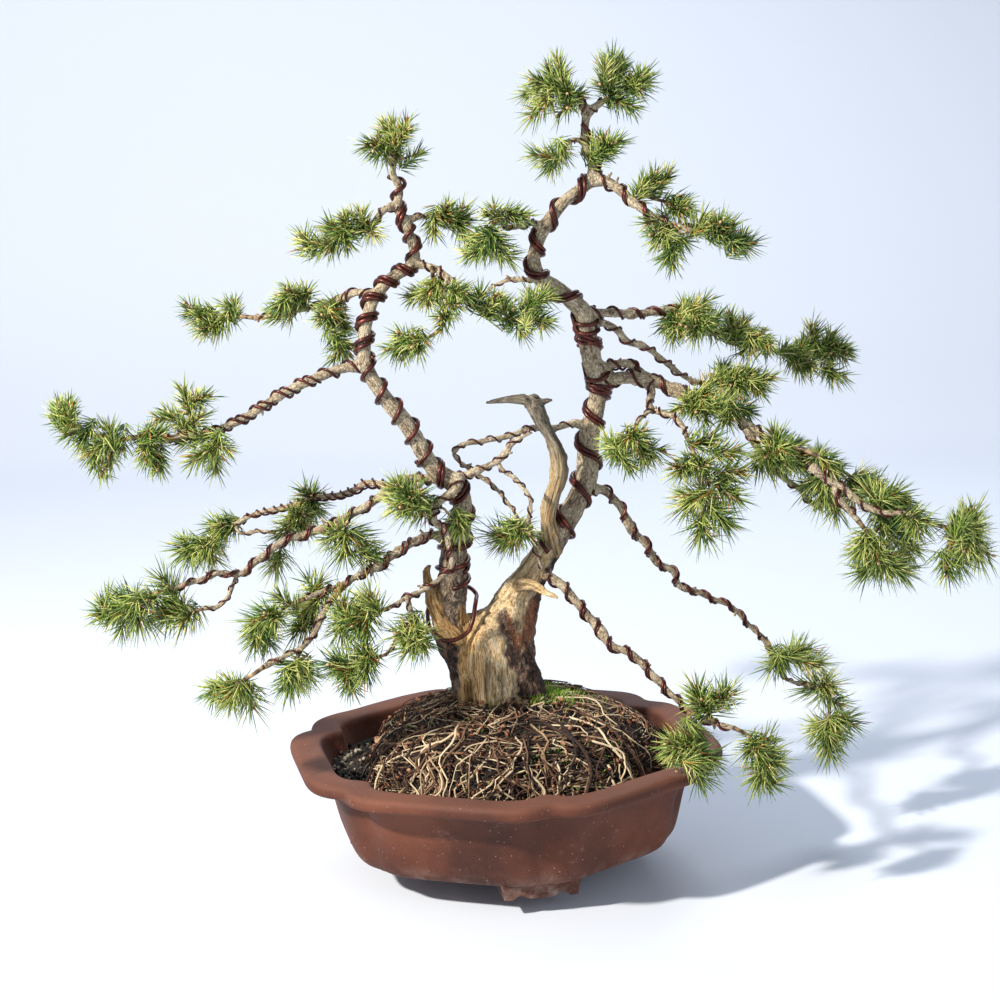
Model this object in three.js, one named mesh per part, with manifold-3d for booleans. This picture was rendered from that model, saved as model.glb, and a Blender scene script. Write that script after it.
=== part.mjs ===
// A twin-trunk Scots pine bonsai in a lobed hexagonal stoneware pot.
// Millimetres, +Z up. The origin is on the ground under the middle of the whole tree,
// the front of the tree faces -Y, and the pot stands a little left of the origin.
import * as THREE from 'three';
import { mergeVertices } from 'three/addons/utils/BufferGeometryUtils.js';
import Module from 'manifold-3d';

const wasm = await Module();
wasm.setup();

// Driving dimensions
const GAP = 0.5;             // air between two pieces that touch on the real tree
const EYE = [-25, -2482, 956];  // where the tree is looked at from: routes are read from here

const POT_CENTRE = [-28, 0];
const POT_APOTHEM = 250;     // centre to the middle of a side, at the rim
const POT_TURN = -78;        // degrees, direction of the first notched corner
const POT_WIDER = 1.04;      // the mould is a little wider than deep
const POT_DEEPER = 0.96;
const NOTCH_DEPTH = 38;      // how far each corner is drawn in
const NOTCH_WIDTH = 27;
const RIM_TOP = 137;
const RIM_WIDTH = 38;        // flat top of the lip
const LIP_DROP = 15;
const LIP_PROUD = 22;        // how far the lip stands out from the wall
const BASE_HEIGHT = 12;      // underside of the pot, held up by its feet
const FOOT_DEPTH = 42;       // from a foot's front to its back
const FOOT_REACH = 150;      // pot's centre to a foot's back
const FOOT_TOP = 20;         // where a foot ends inside the wall
const FLOOR_TOP = 34;
const HOLE_RADIUS = 17;
const HOLE_OFFSET = 95;      // drain holes left and right of the pot's centre
const PAD_SIDE = 52;         // square of plastic mesh over a drain hole
const PAD_THICK = 2;

const SOIL_TOP = 108;
const SOIL_INSET = 51;       // from the rim's edge in to where the soil meets the wall
const BALL_CENTRE = [-18, 4];
const BALL_RADII = [180, 166];
const BALL_TOP = 196;
const BALL_FOOT = 62;

const TRUNK_SIDES = 7;
const BRANCH_STEP = 32;      // distance between two rings of a branch
const TRUNK_WIRE = 3;        // radius of the copper-coloured aluminium wire
const WIRE_PITCH = 31;
const WIRE_STEPS = 6;        // points of the wire in one turn
const WIRE_SIDES = 3;
const WIRE_ROWS = 400;       // places along a limb where its wire's direction is worked out
const LOOP_CENTRE = [-86, 7, 303];
const LOOP_RADIUS = 32;
const LOOP_TILT = 30;        // how far its front is below its middle
const LOOP_STEPS = 22;
const WIRE_RISE = 7;         // half of what the loop climbs in its turn
const NEEDLE_LENGTH = 37;
const NEEDLE_RADIUS = 0.9;
const TWIG_RADIUS = 2.2;
const LEADER_NEEDLES = 4;    // on the tuft that ends a spray
const SIDE_NEEDLES = 2;      // on each of the others
const NEEDLE_STAGGER = 4;    // along the twig from one needle's root to the next
const STEM_STEPS = 24;       // places along a stem where a twig may start
const SLIVER = 0.15;         // facets closer to flat than this are taken up by their neighbours

// Routes are lists of [x, z] as the tree is seen from the front, on the plane y = 0.
// depth is the real y of the first and last point, and the points between are spread evenly.
// Each point slides along its line of sight until it has that depth.
const WOOD = {
  left_trunk: {
    route: [[-58, 235], [-84, 270], [-91, 294], [-86, 339], [-85, 361], [-82, 388], [-75, 410],
      [-72, 428], [-72, 450], [-85, 470], [-104, 484], [-133, 537], [-162, 576], [-181, 612],
      [-183, 640], [-180, 662], [-170, 692], [-147, 717], [-128, 728], [-119, 740], [-125, 772],
      [-136, 799], [-135, 827], [-141, 838], [-140, 852]],
    depths: [15, 12, 10, 5, 2, -2, -6, -9, -12, -15, -18, -24, -29, -30, -28, -24, -12, -2, 3, 8,
      12, 16, 20, 20, 20],
    radii: [34, 26, 22, 18.5, 17.5, 16, 15, 14.5, 14, 14, 13, 12.5, 11.5, 10.5, 10, 10, 9.5, 9,
      8.5, 8, 7.5, 7, 6, 5.5, 4.5],
    sides: TRUNK_SIDES,
  },
  right_trunk: {
    route: [[-26, 235], [-22, 272], [-8, 312], [12, 348], [28, 374], [54, 415], [69, 441],
      [82, 478], [84, 515], [95, 561], [98, 585], [90, 613], [84, 649], [80, 671], [65, 686],
      [45, 703], [29, 713], [23, 728], [25, 748], [36, 772], [62, 804], [84, 819], [93, 829],
      [93, 856], [86, 870], [86, 886], [89, 907]],
    depths: [20, 24, 28, 34, 38, 44, 48, 55, 58, 54, 50, 42, 32, 24, 18, 12, 6, 0, -4, -8, -8,
      -4, 0, 4, 5, 5, 5],
    radii: [40, 38, 30, 20, 17.5, 16, 16, 18, 15.5, 14.5, 15, 15, 15, 14, 12.5, 12, 11.5, 10.5,
      10, 10, 9, 9, 8.5, 7, 6.5, 6, 6],
    sides: TRUNK_SIDES,
  },
  bird_head_jin: {
    route: [[38, 380], [33, 420], [40, 448], [48, 478], [46, 503], [37, 523], [28, 540], [21, 556],
      [14, 566]],
    depths: [36, 26, 18, 12, 8, 6, 4, 2, 0],
    radii: [13, 10, 10, 10.5, 10, 8.5, 8.5, 10, 7],
    sides: 7,
  },
  beak: { route: [[24, 563], [0, 567], [-40, 564]], depth: [2, -4], ends: [10, 1.6], sides: 5 },
  beak_spur: { route: [[15, 563], [42, 565]], depth: [1, 5], ends: [7, 2], sides: 5 },
  left_jin: {
    route: [[-80, 268], [-98, 292], [-108, 312], [-114, 335], [-117, 358], [-111, 366]],
    depth: [2, -12], ends: [17, 2], sides: 6,
  },
  spike_jin: { route: [[-4, 338], [14, 335], [28, 326], [43, 319]], depth: [10, -22], ends: [9, 2.5] },
  saddle: { route: [[-74, 280], [-50, 288], [-20, 296]], depth: [14, 24], ends: [18, 20], sides: 6 },

  left_shoulder: {
    route: [[-137, 802], [-150, 800], [-160, 790], [-167, 783], [-186, 774]],
    depth: [16, -10], ends: [5, 3.5],
  },
  gap_upper: {
    route: [[-128, 785], [-115, 788], [-104, 790], [-93, 785]],
    depth: [14, 30], ends: [4.2, 3],
  },
  gap_long: {
    route: [[-121, 734], [-107, 731], [-94, 727], [-84, 719], [-72, 708], [-60, 692], [-48, 680],
      [-33, 669]],
    depth: [6, -45], ends: [5, 3],
  },
  gap_drop: { route: [[-81, 716], [-84, 700], [-84, 682]], depth: [-22, -40], ends: [3, 2.6] },
  left_upper: {
    route: [[-168, 697], [-190, 701], [-205, 695], [-220, 689], [-253, 684], [-287, 676],
      [-312, 674]],
    depth: [-10, 85], ends: [5.5, 3.4],
  },
  left_arm: {
    route: [[-181, 614], [-211, 610], [-230, 604], [-251, 596], [-271, 587], [-292, 577], [-312, 564],
      [-333, 552], [-354, 543], [-372, 537], [-397, 533], [-425, 531], [-452, 534]],
    depth: [-30, -95], ends: [7, 4],
  },
  left_back: {
    route: [[-82, 467], [-110, 472], [-129, 474], [-144, 471], [-158, 466], [-187, 469], [-202, 461],
      [-221, 455], [-249, 453], [-286, 442], [-328, 433], [-346, 423]],
    depths: [-12, -10, -7, -3, 4, 20, 34, 48, 68, 92, 118, 130],
    ends: [6.5, 3],
  },
  left_back_curl: {
    route: [[-330, 432], [-348, 421], [-343, 411], [-320, 413], [-300, 410]],
    depth: [120, 100], ends: [3, 2],
  },
  left_long: {
    route: [[-136, 473], [-162, 458], [-182, 444], [-200, 434], [-235, 417], [-271, 405], [-290, 400],
      [-307, 388], [-328, 373], [-347, 359], [-369, 362], [-391, 355], [-432, 343]],
    depth: [-5, -85], ends: [6, 3.4],
  },
  left_long_side: {
    route: [[-349, 360], [-356, 345], [-362, 332], [-376, 319], [-393, 317]],
    depth: [-62, -84], ends: [3, 2.4],
  },
  left_hook: {
    route: [[-74, 474], [-78, 460], [-97, 445], [-104, 436], [-106, 420], [-93, 407], [-88, 384],
      [-87, 362], [-101, 347], [-123, 333], [-145, 323], [-166, 311]],
    depths: [-14, -34, -42, -46, -50, -54, -60, -66, -74, -82, -90, -98],
    ends: [6, 3],
  },
  left_hook_drop: {
    route: [[-143, 325], [-138, 306], [-139, 291], [-153, 274], [-170, 253]],
    depth: [-90, -118], ends: [3.4, 2.6],
  },
  left_low: {
    route: [[-82, 398], [-112, 402], [-127, 397], [-154, 381], [-176, 365], [-198, 356], [-221, 342],
      [-243, 336], [-268, 326]],
    depth: [-4, -105], ends: [6.5, 3.2],
  },
  left_skirt: {
    route: [[-222, 343], [-234, 326], [-246, 308], [-256, 286], [-272, 266], [-295, 254],
      [-322, 241]],
    depth: [-82, -150], ends: [4.4, 3],
  },
  cross_right: {
    route: [[84, 530], [67, 536], [44, 531], [16, 532], [-10, 523], [-45, 517], [-72, 512], [-79, 501],
      [-58, 481], [-32, 461], [-17, 442], [-4, 422]],
    depths: [57, 52, 48, 42, 34, 22, 12, 10, 16, 14, 6, -4],
    ends: [4.6, 2.2],
  },
  cross_left: {
    route: [[-84, 471], [-64, 476], [-42, 485], [-27, 492], [-17, 502], [-9, 513], [4, 521],
      [16, 526]],
    depth: [-14, -2], ends: [5.5, 2],
  },
  cross_spur: {
    route: [[-27, 490], [-19, 479], [-7, 471], [3, 459], [11, 447], [12, 433], [9, 416]],
    depth: [-7, -30], ends: [3, 2],
  },
  crown_left_limb: { route: [[89, 905], [81, 918], [70, 925]], depth: [5, -4], ends: [5, 3.6] },
  crown_right_limb: { route: [[89, 905], [98, 911], [109, 918]], depth: [5, 14], ends: [5, 3.6] },
  neck_left: { route: [[87, 868], [75, 874], [66, 870], [61, 861]], depth: [5, -16], ends: [3.4, 2.4] },
  inner_upper: {
    route: [[33, 772], [22, 778], [8, 775], [-7, 774], [-18, 783]],
    depth: [-8, -44], ends: [4.4, 2.8],
  },
  inner_lower: {
    route: [[27, 714], [14, 711], [0, 712], [-16, 709], [-32, 701]],
    depth: [6, 44], ends: [3.6, 2],
  },
  right_shoulder: {
    route: [[90, 828], [109, 825], [124, 816], [135, 806], [146, 796], [171, 778], [190, 771],
      [212, 764]],
    depth: [0, -40], ends: [7.5, 4],
  },
  right_upper: {
    route: [[80, 668], [112, 669], [140, 667], [163, 668], [190, 670], [222, 652], [254, 638],
      [283, 625], [322, 616]],
    depth: [24, 118], ends: [6.5, 3.2],
  },
  right_middle: {
    route: [[84, 652], [103, 657], [120, 648], [134, 633], [152, 628], [180, 606], [203, 588],
      [224, 580]],
    depth: [30, 66], ends: [5.5, 3.2],
  },
  right_arm: {
    route: [[97, 586], [132, 590], [168, 583], [198, 570], [236, 558], [262, 540], [285, 522],
      [308, 508], [348, 481], [368, 473], [380, 459], [385, 440], [397, 424], [412, 406]],
    depth: [48, -92], ends: [9, 3.6],
  },
  right_arm_root: {
    route: [[94, 602], [132, 607], [152, 594], [172, 582]],
    depth: [46, 34], ends: [6, 5],
  },
  right_arm_end: {
    route: [[354, 476], [372, 459], [393, 448], [410, 432], [428, 420], [447, 415], [466, 414],
      [486, 408]],
    depth: [-55, -112], ends: [5, 3.2],
  },
  right_arm_under: {
    route: [[276, 526], [287, 502], [301, 484], [318, 464], [337, 450], [353, 432], [368, 421]],
    depth: [-15, -24], ends: [5, 3],
  },
  right_fall: {
    route: [[152, 588], [162, 572], [158, 561], [162, 551], [174, 546], [188, 541], [197, 531],
      [203, 516]],
    depth: [34, -70], ends: [5, 3],
  },
  right_fall_side: { route: [[163, 551], [151, 543], [142, 533]], depth: [-16, -56], ends: [3, 2.4] },
  right_long: {
    route: [[74, 452], [101, 453], [112, 443], [123, 429], [135, 403], [153, 383], [164, 361],
      [185, 349], [193, 330], [214, 322], [235, 312], [257, 302], [280, 276], [300, 258]],
    depth: [54, 84], ends: [6.5, 3],
  },
  right_long_drop: {
    route: [[292, 264], [303, 248], [306, 234], [315, 220], [327, 206], [350, 200], [368, 192]],
    depth: [82, 78], ends: [3.2, 2.4],
  },
  right_low: {
    route: [[16, 350], [30, 348], [48, 335], [72, 305], [94, 277], [106, 258], [134, 244], [158, 218],
      [185, 188], [213, 163], [241, 151], [259, 146]],
    depth: [30, -165], ends: [7, 3.2],
  },
};

// A spray is the leafy end of a branch: a slim stem that ends in its first tuft of needles, with
// a short twig to each of the others. stem: [x, z] points, tufts: [x, z, how far behind the stem].
const SPRAYS = {
  left_crown: {
    stem: [[-140, 850], [-139, 862], [-148, 872]], depth: [20, 12], thick: 4,
    tufts: [[-174, 874, -12], [-145, 892, 14], [-119, 893, -14], [-105, 862, 8]],
  },
  left_shoulder_spray: {
    stem: [[-186, 774], [-208, 768], [-228, 759]], depth: [-10, -34], thick: 3.3,
    tufts: [[-250, 756, 0], [-220, 784, 14], [-194, 757, -14]],
  },
  gap_upper_spray: {
    stem: [[-93, 785], [-80, 785], [-68, 783]], depth: [30, 44], thick: 2.8,
    tufts: [[-53, 787, 4], [-76, 798, -12], [-100, 772, -10]],
  },
  gap_long_inner: {
    stem: [[-98, 729], [-99, 712], [-106, 701]], depth: [-16, 12], thick: 2.8,
    tufts: [[-127, 692, 8], [-88, 692, -12]],
  },
  gap_drop_spray: {
    stem: [[-84, 682], [-90, 656], [-104, 646], [-122, 641]], depth: [-40, -54], thick: 2.4,
    tufts: [[-140, 638, 4], [-118, 626, -12], [-68, 684, -14]],
  },
  gap_long_tip: {
    stem: [[-33, 669], [-12, 664], [8, 664], [24, 664]], depth: [-45, -62], thick: 2.9,
    tufts: [[42, 660, -4], [6, 642, -8], [24, 692, 8]],
  },
  left_upper_inner: {
    stem: [[-216, 690], [-218, 676], [-220, 660], [-214, 644]], depth: [25, 0], thick: 3,
    tufts: [[-206, 622, -6], [-236, 674, -14], [-200, 662, 12]],
  },
  left_upper_mid: {
    stem: [[-262, 682], [-264, 692], [-262, 700]], depth: [52, 34], thick: 2.8,
    tufts: [[-276, 704, -10], [-246, 704, 10], [-288, 684, -18]],
  },
  left_upper_tip: {
    stem: [[-312, 674], [-336, 677], [-366, 680]], depth: [85, 106], thick: 3.2,
    tufts: [[-394, 682, 2], [-372, 656, -16], [-334, 696, 10]],
  },
  left_arm_tip: {
    stem: [[-489, 534], [-515, 537], [-535, 545], [-547, 556]], depth: [-103, -122], thick: 3,
    tufts: [[-560, 564, 2], [-538, 577, -12], [-548, 536, 12]],
  },
  left_arm_under: {
    stem: [[-452, 534], [-470, 532], [-490, 528]], depth: [-95, -106], thick: 3.6,
    tufts: [[-524, 514, -8], [-494, 502, 14], [-450, 502, -10]],
  },
  left_arm_up: {
    stem: [[-391, 534], [-395, 552], [-398, 568]], depth: [-86, -74], thick: 3,
    tufts: [[-404, 592, 2], [-380, 580, -12], [-430, 560, 8]],
  },
  left_arm_low: {
    stem: [[-368, 539], [-370, 526], [-376, 514]], depth: [-80, -96], thick: 3,
    tufts: [[-396, 502, -8], [-368, 494, 8], [-346, 514, -8]],
  },
  left_back_mid: {
    stem: [[-262, 449], [-268, 438], [-278, 424]], depth: [86, 66], thick: 2.7,
    tufts: [[-290, 404, -4], [-248, 436, 14], [-262, 414, -12]],
  },
  left_back_tip: {
    stem: [[-346, 423], [-362, 414], [-384, 402]], depth: [130, 138], thick: 2.8,
    tufts: [[-418, 390, -4], [-366, 424, -14], [-384, 380, 10]],
  },
  left_long_tip: {
    stem: [[-432, 343], [-456, 336], [-478, 326], [-498, 318]], depth: [-85, -100], thick: 3.2,
    tufts: [[-524, 314, -2], [-496, 338, 14], [-494, 288, -8]],
  },
  left_long_mid: {
    stem: [[-393, 317], [-408, 314], [-426, 314]], depth: [-84, -80], thick: 2.3,
    tufts: [[-446, 312, 0], [-412, 300, -10], [-430, 332, 12]],
  },
  left_long_inner: {
    stem: [[-226, 421], [-222, 408], [-216, 396]], depth: [-38, -60], thick: 3,
    tufts: [[-218, 377, -4], [-240, 398, -8], [-184, 394, 10]],
  },
  left_hook_start: {
    stem: [[-104, 441], [-120, 442], [-134, 446]], depth: [-44, -60], thick: 2.8,
    tufts: [[-150, 458, 2], [-150, 434, -10], [-122, 426, 8]],
  },
  left_hook_tip: {
    stem: [[-166, 311], [-184, 307], [-204, 303]], depth: [-98, -108], thick: 2.9,
    tufts: [[-226, 300, 0], [-196, 330, 12], [-194, 280, -10]],
  },
  left_hook_low: {
    stem: [[-141, 288], [-134, 280], [-130, 270]], depth: [-102, -112], thick: 2.2,
    tufts: [[-128, 262, 0], [-148, 272, -12]],
  },
  left_hook_far: {
    stem: [[-170, 253], [-188, 247], [-210, 240]], depth: [-118, -132], thick: 2.5,
    tufts: [[-230, 236, 0], [-204, 262, 12], [-194, 224, -12]],
  },
  left_low_tip: {
    stem: [[-268, 326], [-288, 318], [-308, 306]], depth: [-105, -122], thick: 3,
    tufts: [[-334, 296, 0], [-304, 300, -20], [-314, 270, 10]],
  },
  left_low_mid: {
    stem: [[-240, 337], [-250, 336], [-258, 328]], depth: [-94, -64], thick: 2.4,
    tufts: [[-270, 300, -2], [-250, 352, 12]],
  },
  left_skirt_tip: {
    stem: [[-322, 241], [-342, 228], [-364, 216]], depth: [-150, -166], thick: 2.9,
    tufts: [[-390, 212, 2], [-364, 192, -12], [-344, 198, 14]],
  },
  left_skirt_low: {
    stem: [[-276, 263], [-282, 248], [-288, 232]], depth: [-128, -142], thick: 2.4,
    tufts: [[-296, 212, -2], [-262, 230, 10]],
  },
  cross_tip: {
    stem: [[-4, 422], [-2, 410], [-8, 400]], depth: [-4, -8], thick: 2.1,
    tufts: [[-12, 386, -2], [-24, 406, 8], [8, 402, -8]],
  },
  crown_left: {
    stem: [[70, 925], [60, 930], [50, 936]], depth: [-4, -14], thick: 3.4,
    tufts: [[28, 944, 0], [60, 963, 10], [34, 914, -10], [68, 908, -16]],
  },
  crown_right: {
    stem: [[109, 918], [122, 926], [136, 934]], depth: [14, 22], thick: 3.4,
    tufts: [[158, 940, 2], [106, 962, -12], [128, 966, 14], [138, 908, -14]],
  },
  neck_left_spray: {
    stem: [[61, 861], [52, 856], [40, 855]], depth: [-16, -24], thick: 2.3,
    tufts: [[22, 858, 0], [46, 838, 8]],
  },
  neck_right_spray: {
    stem: [[92, 858], [103, 860], [114, 865]], depth: [4, -12], thick: 2.6,
    tufts: [[129, 873, 0], [104, 876, -12]],
  },
  inner_upper_spray: {
    stem: [[-18, 783], [-26, 776], [-32, 762]], depth: [-44, -58], thick: 2.7,
    tufts: [[-36, 744, 0], [-34, 794, 8], [-10, 752, -12]],
  },
  right_shoulder_up: {
    stem: [[140, 802], [156, 806], [176, 800]], depth: [-14, 6], thick: 2.8,
    tufts: [[208, 796, 2], [154, 828, -10], [180, 832, 12]],
  },
  right_shoulder_low: {
    stem: [[182, 774], [182, 762], [184, 750]], depth: [-29, -44], thick: 2.9,
    tufts: [[190, 736, 0], [160, 764, -10], [206, 752, 12]],
  },
  right_shoulder_tip: {
    stem: [[212, 764], [232, 762], [254, 754]], depth: [-40, -52], thick: 3.4,
    tufts: [[275, 744, 0], [224, 784, 14], [248, 776, -14]],
  },
  right_upper_inner: {
    stem: [[196, 668], [208, 668], [220, 662]], depth: [66, 48], thick: 3,
    tufts: [[228, 652, -4], [200, 682, 12], [190, 644, -14]],
  },
  right_upper_mid: {
    stem: [[256, 637], [272, 638], [288, 632]], depth: [90, 70], thick: 2.8,
    tufts: [[304, 624, 0], [256, 660, 8], [278, 614, -10]],
  },
  right_upper_tip: {
    stem: [[322, 616], [344, 618], [368, 618]], depth: [118, 132], thick: 3,
    tufts: [[396, 619, 2], [352, 592, -12], [358, 642, 10]],
  },
  right_middle_spray: {
    stem: [[224, 580], [244, 584], [266, 584]], depth: [66, 60], thick: 3,
    tufts: [[294, 581, 0], [246, 600, 12], [268, 568, -12]],
  },
  right_arm_inner: {
    stem: [[208, 566], [220, 560], [232, 552]], depth: [6, -24], thick: 3.2,
    tufts: [[258, 552, 2], [204, 546, -14], [228, 572, 10]],
  },
  right_arm_mid: {
    stem: [[318, 501], [334, 500], [354, 492]], depth: [-40, -62], thick: 3.2,
    tufts: [[384, 474, 2], [312, 516, 10], [330, 478, -14]],
  },
  right_arm_end_mid: {
    stem: [[424, 422], [436, 430], [446, 436]], depth: [-82, -70], thick: 3,
    tufts: [[460, 440, 2], [420, 448, -8], [474, 414, 12]],
  },
  right_arm_end_tip: {
    stem: [[486, 408], [505, 399], [530, 394]], depth: [-112, -122], thick: 3.1,
    tufts: [[558, 392, 2], [540, 410, 12], [550, 364, -8]],
  },
  right_arm_low_tip: {
    stem: [[412, 406], [424, 390], [436, 370]], depth: [-92, -100], thick: 3.2,
    tufts: [[446, 348, -4], [408, 366, 10], [466, 350, 8]],
  },
  right_fall_spray: {
    stem: [[203, 516], [210, 500], [218, 470], [222, 440], [221, 410]], depth: [-70, -96], thick: 3,
    tufts: [[218, 388, 0], [190, 474, -14], [254, 462, 10], [196, 430, 10]],
  },
  right_fall_side_spray: {
    stem: [[142, 533], [134, 520], [124, 508]], depth: [-56, -72], thick: 2.5,
    tufts: [[112, 496, 0], [104, 518, 8], [154, 492, -8]],
  },
  right_long_inner: {
    stem: [[300, 258], [308, 246], [330, 236]], depth: [84, 68], thick: 2.9,
    tufts: [[366, 222, 0], [312, 220, -14], [340, 246, 12]],
  },
  right_long_tip: {
    stem: [[368, 192], [378, 176], [376, 150]], depth: [78, 70], thick: 2.4,
    tufts: [[374, 112, 0], [396, 174, -8], [356, 142, 10], [394, 140, 10]],
  },
  right_low_inner: {
    stem: [[236, 153], [228, 164], [218, 180]], depth: [-148, -132], thick: 2.6,
    tufts: [[211, 202, 2], [244, 190, -8]],
  },
  right_low_hang: {
    stem: [[212, 163], [209, 142], [208, 118], [210, 96]], depth: [-128, -158], thick: 2.6,
    tufts: [[216, 72, -2], [182, 126, -10], [232, 108, -12]],
  },
  right_low_tip: {
    stem: [[259, 146], [276, 136], [290, 118], [298, 100]], depth: [-165, -172], thick: 2.9,
    tufts: [[300, 74, 0], [274, 112, -10], [312, 116, 10]],
  },
};

// Materials, one for each kind of surface
const material = (colour, roughness, metalness = 0) =>
  new THREE.MeshStandardMaterial({ color: colour, roughness, metalness });
const STONEWARE = material('#6d4636', 0.72);
const BARK = material('#8a7458', 0.9);
const NEEDLE_GREEN = material('#5f7a34', 0.6);
const ROOT_MAT = material('#8c6a47', 0.95);
const SOIL = material('#3a3128', 1);
const WIRE = material('#6b3a2c', 0.45, 0.7);
const MESH_PLASTIC = material('#26282a', 0.6);

// Solids and geometry

function solidOf(geometry) {
  const bare = geometry.clone();
  bare.deleteAttribute('normal');
  bare.deleteAttribute('uv');
  const merged = mergeVertices(bare, 1e-4);
  return new wasm.Manifold(new wasm.Mesh({
    numProp: 3,
    vertProperties: new Float32Array(merged.attributes.position.array),
    triVerts: new Uint32Array(merged.index.array),
  }));
}

function geometryOf(solid) {
  const { vertProperties, triVerts } = solid.getMesh();
  const geometry = new THREE.BufferGeometry();
  geometry.setAttribute('position', new THREE.BufferAttribute(vertProperties, 3));
  geometry.setIndex(new THREE.BufferAttribute(triVerts, 1));
  return geometry;
}

const joined = (solids) => solids.reduce((all, one) => all.add(one));

function largestBody(solid) {
  const bodies = solid.decompose();
  return bodies.reduce((best, body) => (body.volume() > best.volume() ? body : best));
}

// A cylinder of rows and sides, each vertex of which is moved to place(row 0..1, angle, 0..1 out)
function moulded(sides, rows, place) {
  const geometry = new THREE.CylinderGeometry(1, 1, 1, sides, rows);
  const position = geometry.attributes.position;
  for (let i = 0; i < position.count; i += 1) {
    const x = position.getX(i);
    const z = position.getZ(i);
    const out = Math.min(1, Math.hypot(x, z));
    position.setXYZ(i, ...place(position.getY(i) + 0.5, Math.atan2(x, z), out > 0.5 ? 1 : 0));
  }
  return solidOf(geometry);
}

// A seeded draw between 0 and 1, so that every build is the same tree
let seed = 7;
function draw() {
  seed = (seed * 1664525 + 1013904223) % 4294967296;
  return seed / 4294967296;
}

// Routes

// Slides a point of the front view along its line of sight to the depth y
function seen([x, z], y) {
  const t = (y - EYE[1]) / (0 - EYE[1]);
  return new THREE.Vector3(EYE[0] + (x - EYE[0]) * t, y, EYE[2] + (z - EYE[2]) * t);
}

function spread(points, from, to) {
  return points.map((_, i) => from + ((to - from) * i) / (points.length - 1));
}

function curveOf(points, depths) {
  return new THREE.CatmullRomCurve3(points.map((p, i) => seen(p, depths[i])), false, 'centripetal');
}

function between(values, t) {
  const at = Math.min(t, 1) * (values.length - 1);
  const i = Math.min(Math.floor(at), values.length - 2);
  return values[i] + (values[i + 1] - values[i]) * (at - i);
}

// Makes a limb: its curve, its radius along it, and the axis points that other pieces keep clear of
function limbOf({ route, depth, depths, ends, radii, sides = ends[0] < 4.7 ? 4 : 5 }) {
  const curve = curveOf(route, depths ?? spread(route, ...depth));
  const radius = (t) => between(radii ?? ends, t);
  const steps = Math.max(2, Math.round(curve.getLength() / BRANCH_STEP));
  const times = Array.from({ length: steps + 1 }, (_, i) => i / steps);
  const rings = times.map((t) => ({ centre: curve.getPoint(t), radius: radius(t) }));
  return { curve, radius, steps, sides, rings };
}

// A tapering tube round the limb's curve, made grow wider and longer all round
function tube(limb, grow = 0, shape = () => 1) {
  const { curve, radius, steps, sides } = limb;
  const frames = frameRings(curve, steps);
  return moulded(sides, steps, (row, angle, out) => {
    const i = Math.round(row * steps);
    const t = i / steps;
    const reach = out * (radius(t) + grow) * shape(t, angle);
    const point = curve.getPoint(t);
    if (i === 0) point.addScaledVector(frames.tangents[i], -grow);
    if (i === steps) point.addScaledVector(frames.tangents[i], grow);
    point.addScaledVector(frames.binormals[i], reach * Math.sin(angle));
    point.addScaledVector(frames.normals[i], reach * Math.cos(angle));
    return point.toArray();
  });
}

// Rings that turn as little as they can from one to the next along the curve
function frameRings(curve, steps) {
  const tangents = [];
  const normals = [];
  const binormals = [];
  let normal = new THREE.Vector3(0, -1, 0);
  for (let i = 0; i <= steps; i += 1) {
    const tangent = curve.getTangent(i / steps).normalize();
    normal = normal.clone().addScaledVector(tangent, -normal.dot(tangent));
    if (normal.lengthSq() < 1e-4) normal.set(1, 0, 0).addScaledVector(tangent, -tangent.x);
    normal.normalize();
    tangents.push(tangent);
    normals.push(normal);
    binormals.push(new THREE.Vector3().crossVectors(tangent, normal));
  }
  return { tangents, normals, binormals };
}

// Whether a point is inside the pot's outline and not over its rim
function inPot({ x, y, z }) {
  const across = Math.hypot((x - POT_CENTRE[0]) / POT_WIDER, (y - POT_CENTRE[1]) / POT_DEEPER);
  return z < RIM_TOP + 3 && across < POT_APOTHEM * 1.14;
}

// Distance between the segments a-b and c-d
function segmentGap(a, b, c, d) {
  const u = b.clone().sub(a);
  const v = d.clone().sub(c);
  const w = a.clone().sub(c);
  const uu = u.dot(u);
  const uv = u.dot(v);
  const vv = v.dot(v);
  const uw = u.dot(w);
  const vw = v.dot(w);
  const det = uu * vv - uv * uv;
  let s = det > 1e-9 ? THREE.MathUtils.clamp((uv * vw - vv * uw) / det, 0, 1) : 0;
  const t = THREE.MathUtils.clamp((uv * s + vw) / vv, 0, 1);
  s = THREE.MathUtils.clamp((uv * t - uw) / uu, 0, 1);
  return w.addScaledVector(u, s).addScaledVector(v, -t).length();
}

// Pot

// Corner by corner, the angles at which an outline has a vertex: close together at the notches
const CORNER_STEPS = [0, 4.5, 9.5, 30, 50.5, 55.5];
const OUTLINE_SIDES = 6 * CORNER_STEPS.length;

function outlineAngle(angle) {
  const at = ((angle / (2 * Math.PI)) * OUTLINE_SIDES + 2 * OUTLINE_SIDES) % OUTLINE_SIDES;
  const i = Math.round(at) % OUTLINE_SIDES;
  const corner = Math.floor(i / CORNER_STEPS.length);
  return THREE.MathUtils.degToRad(POT_TURN + 60 * corner + CORNER_STEPS[i % CORNER_STEPS.length]);
}

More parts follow.
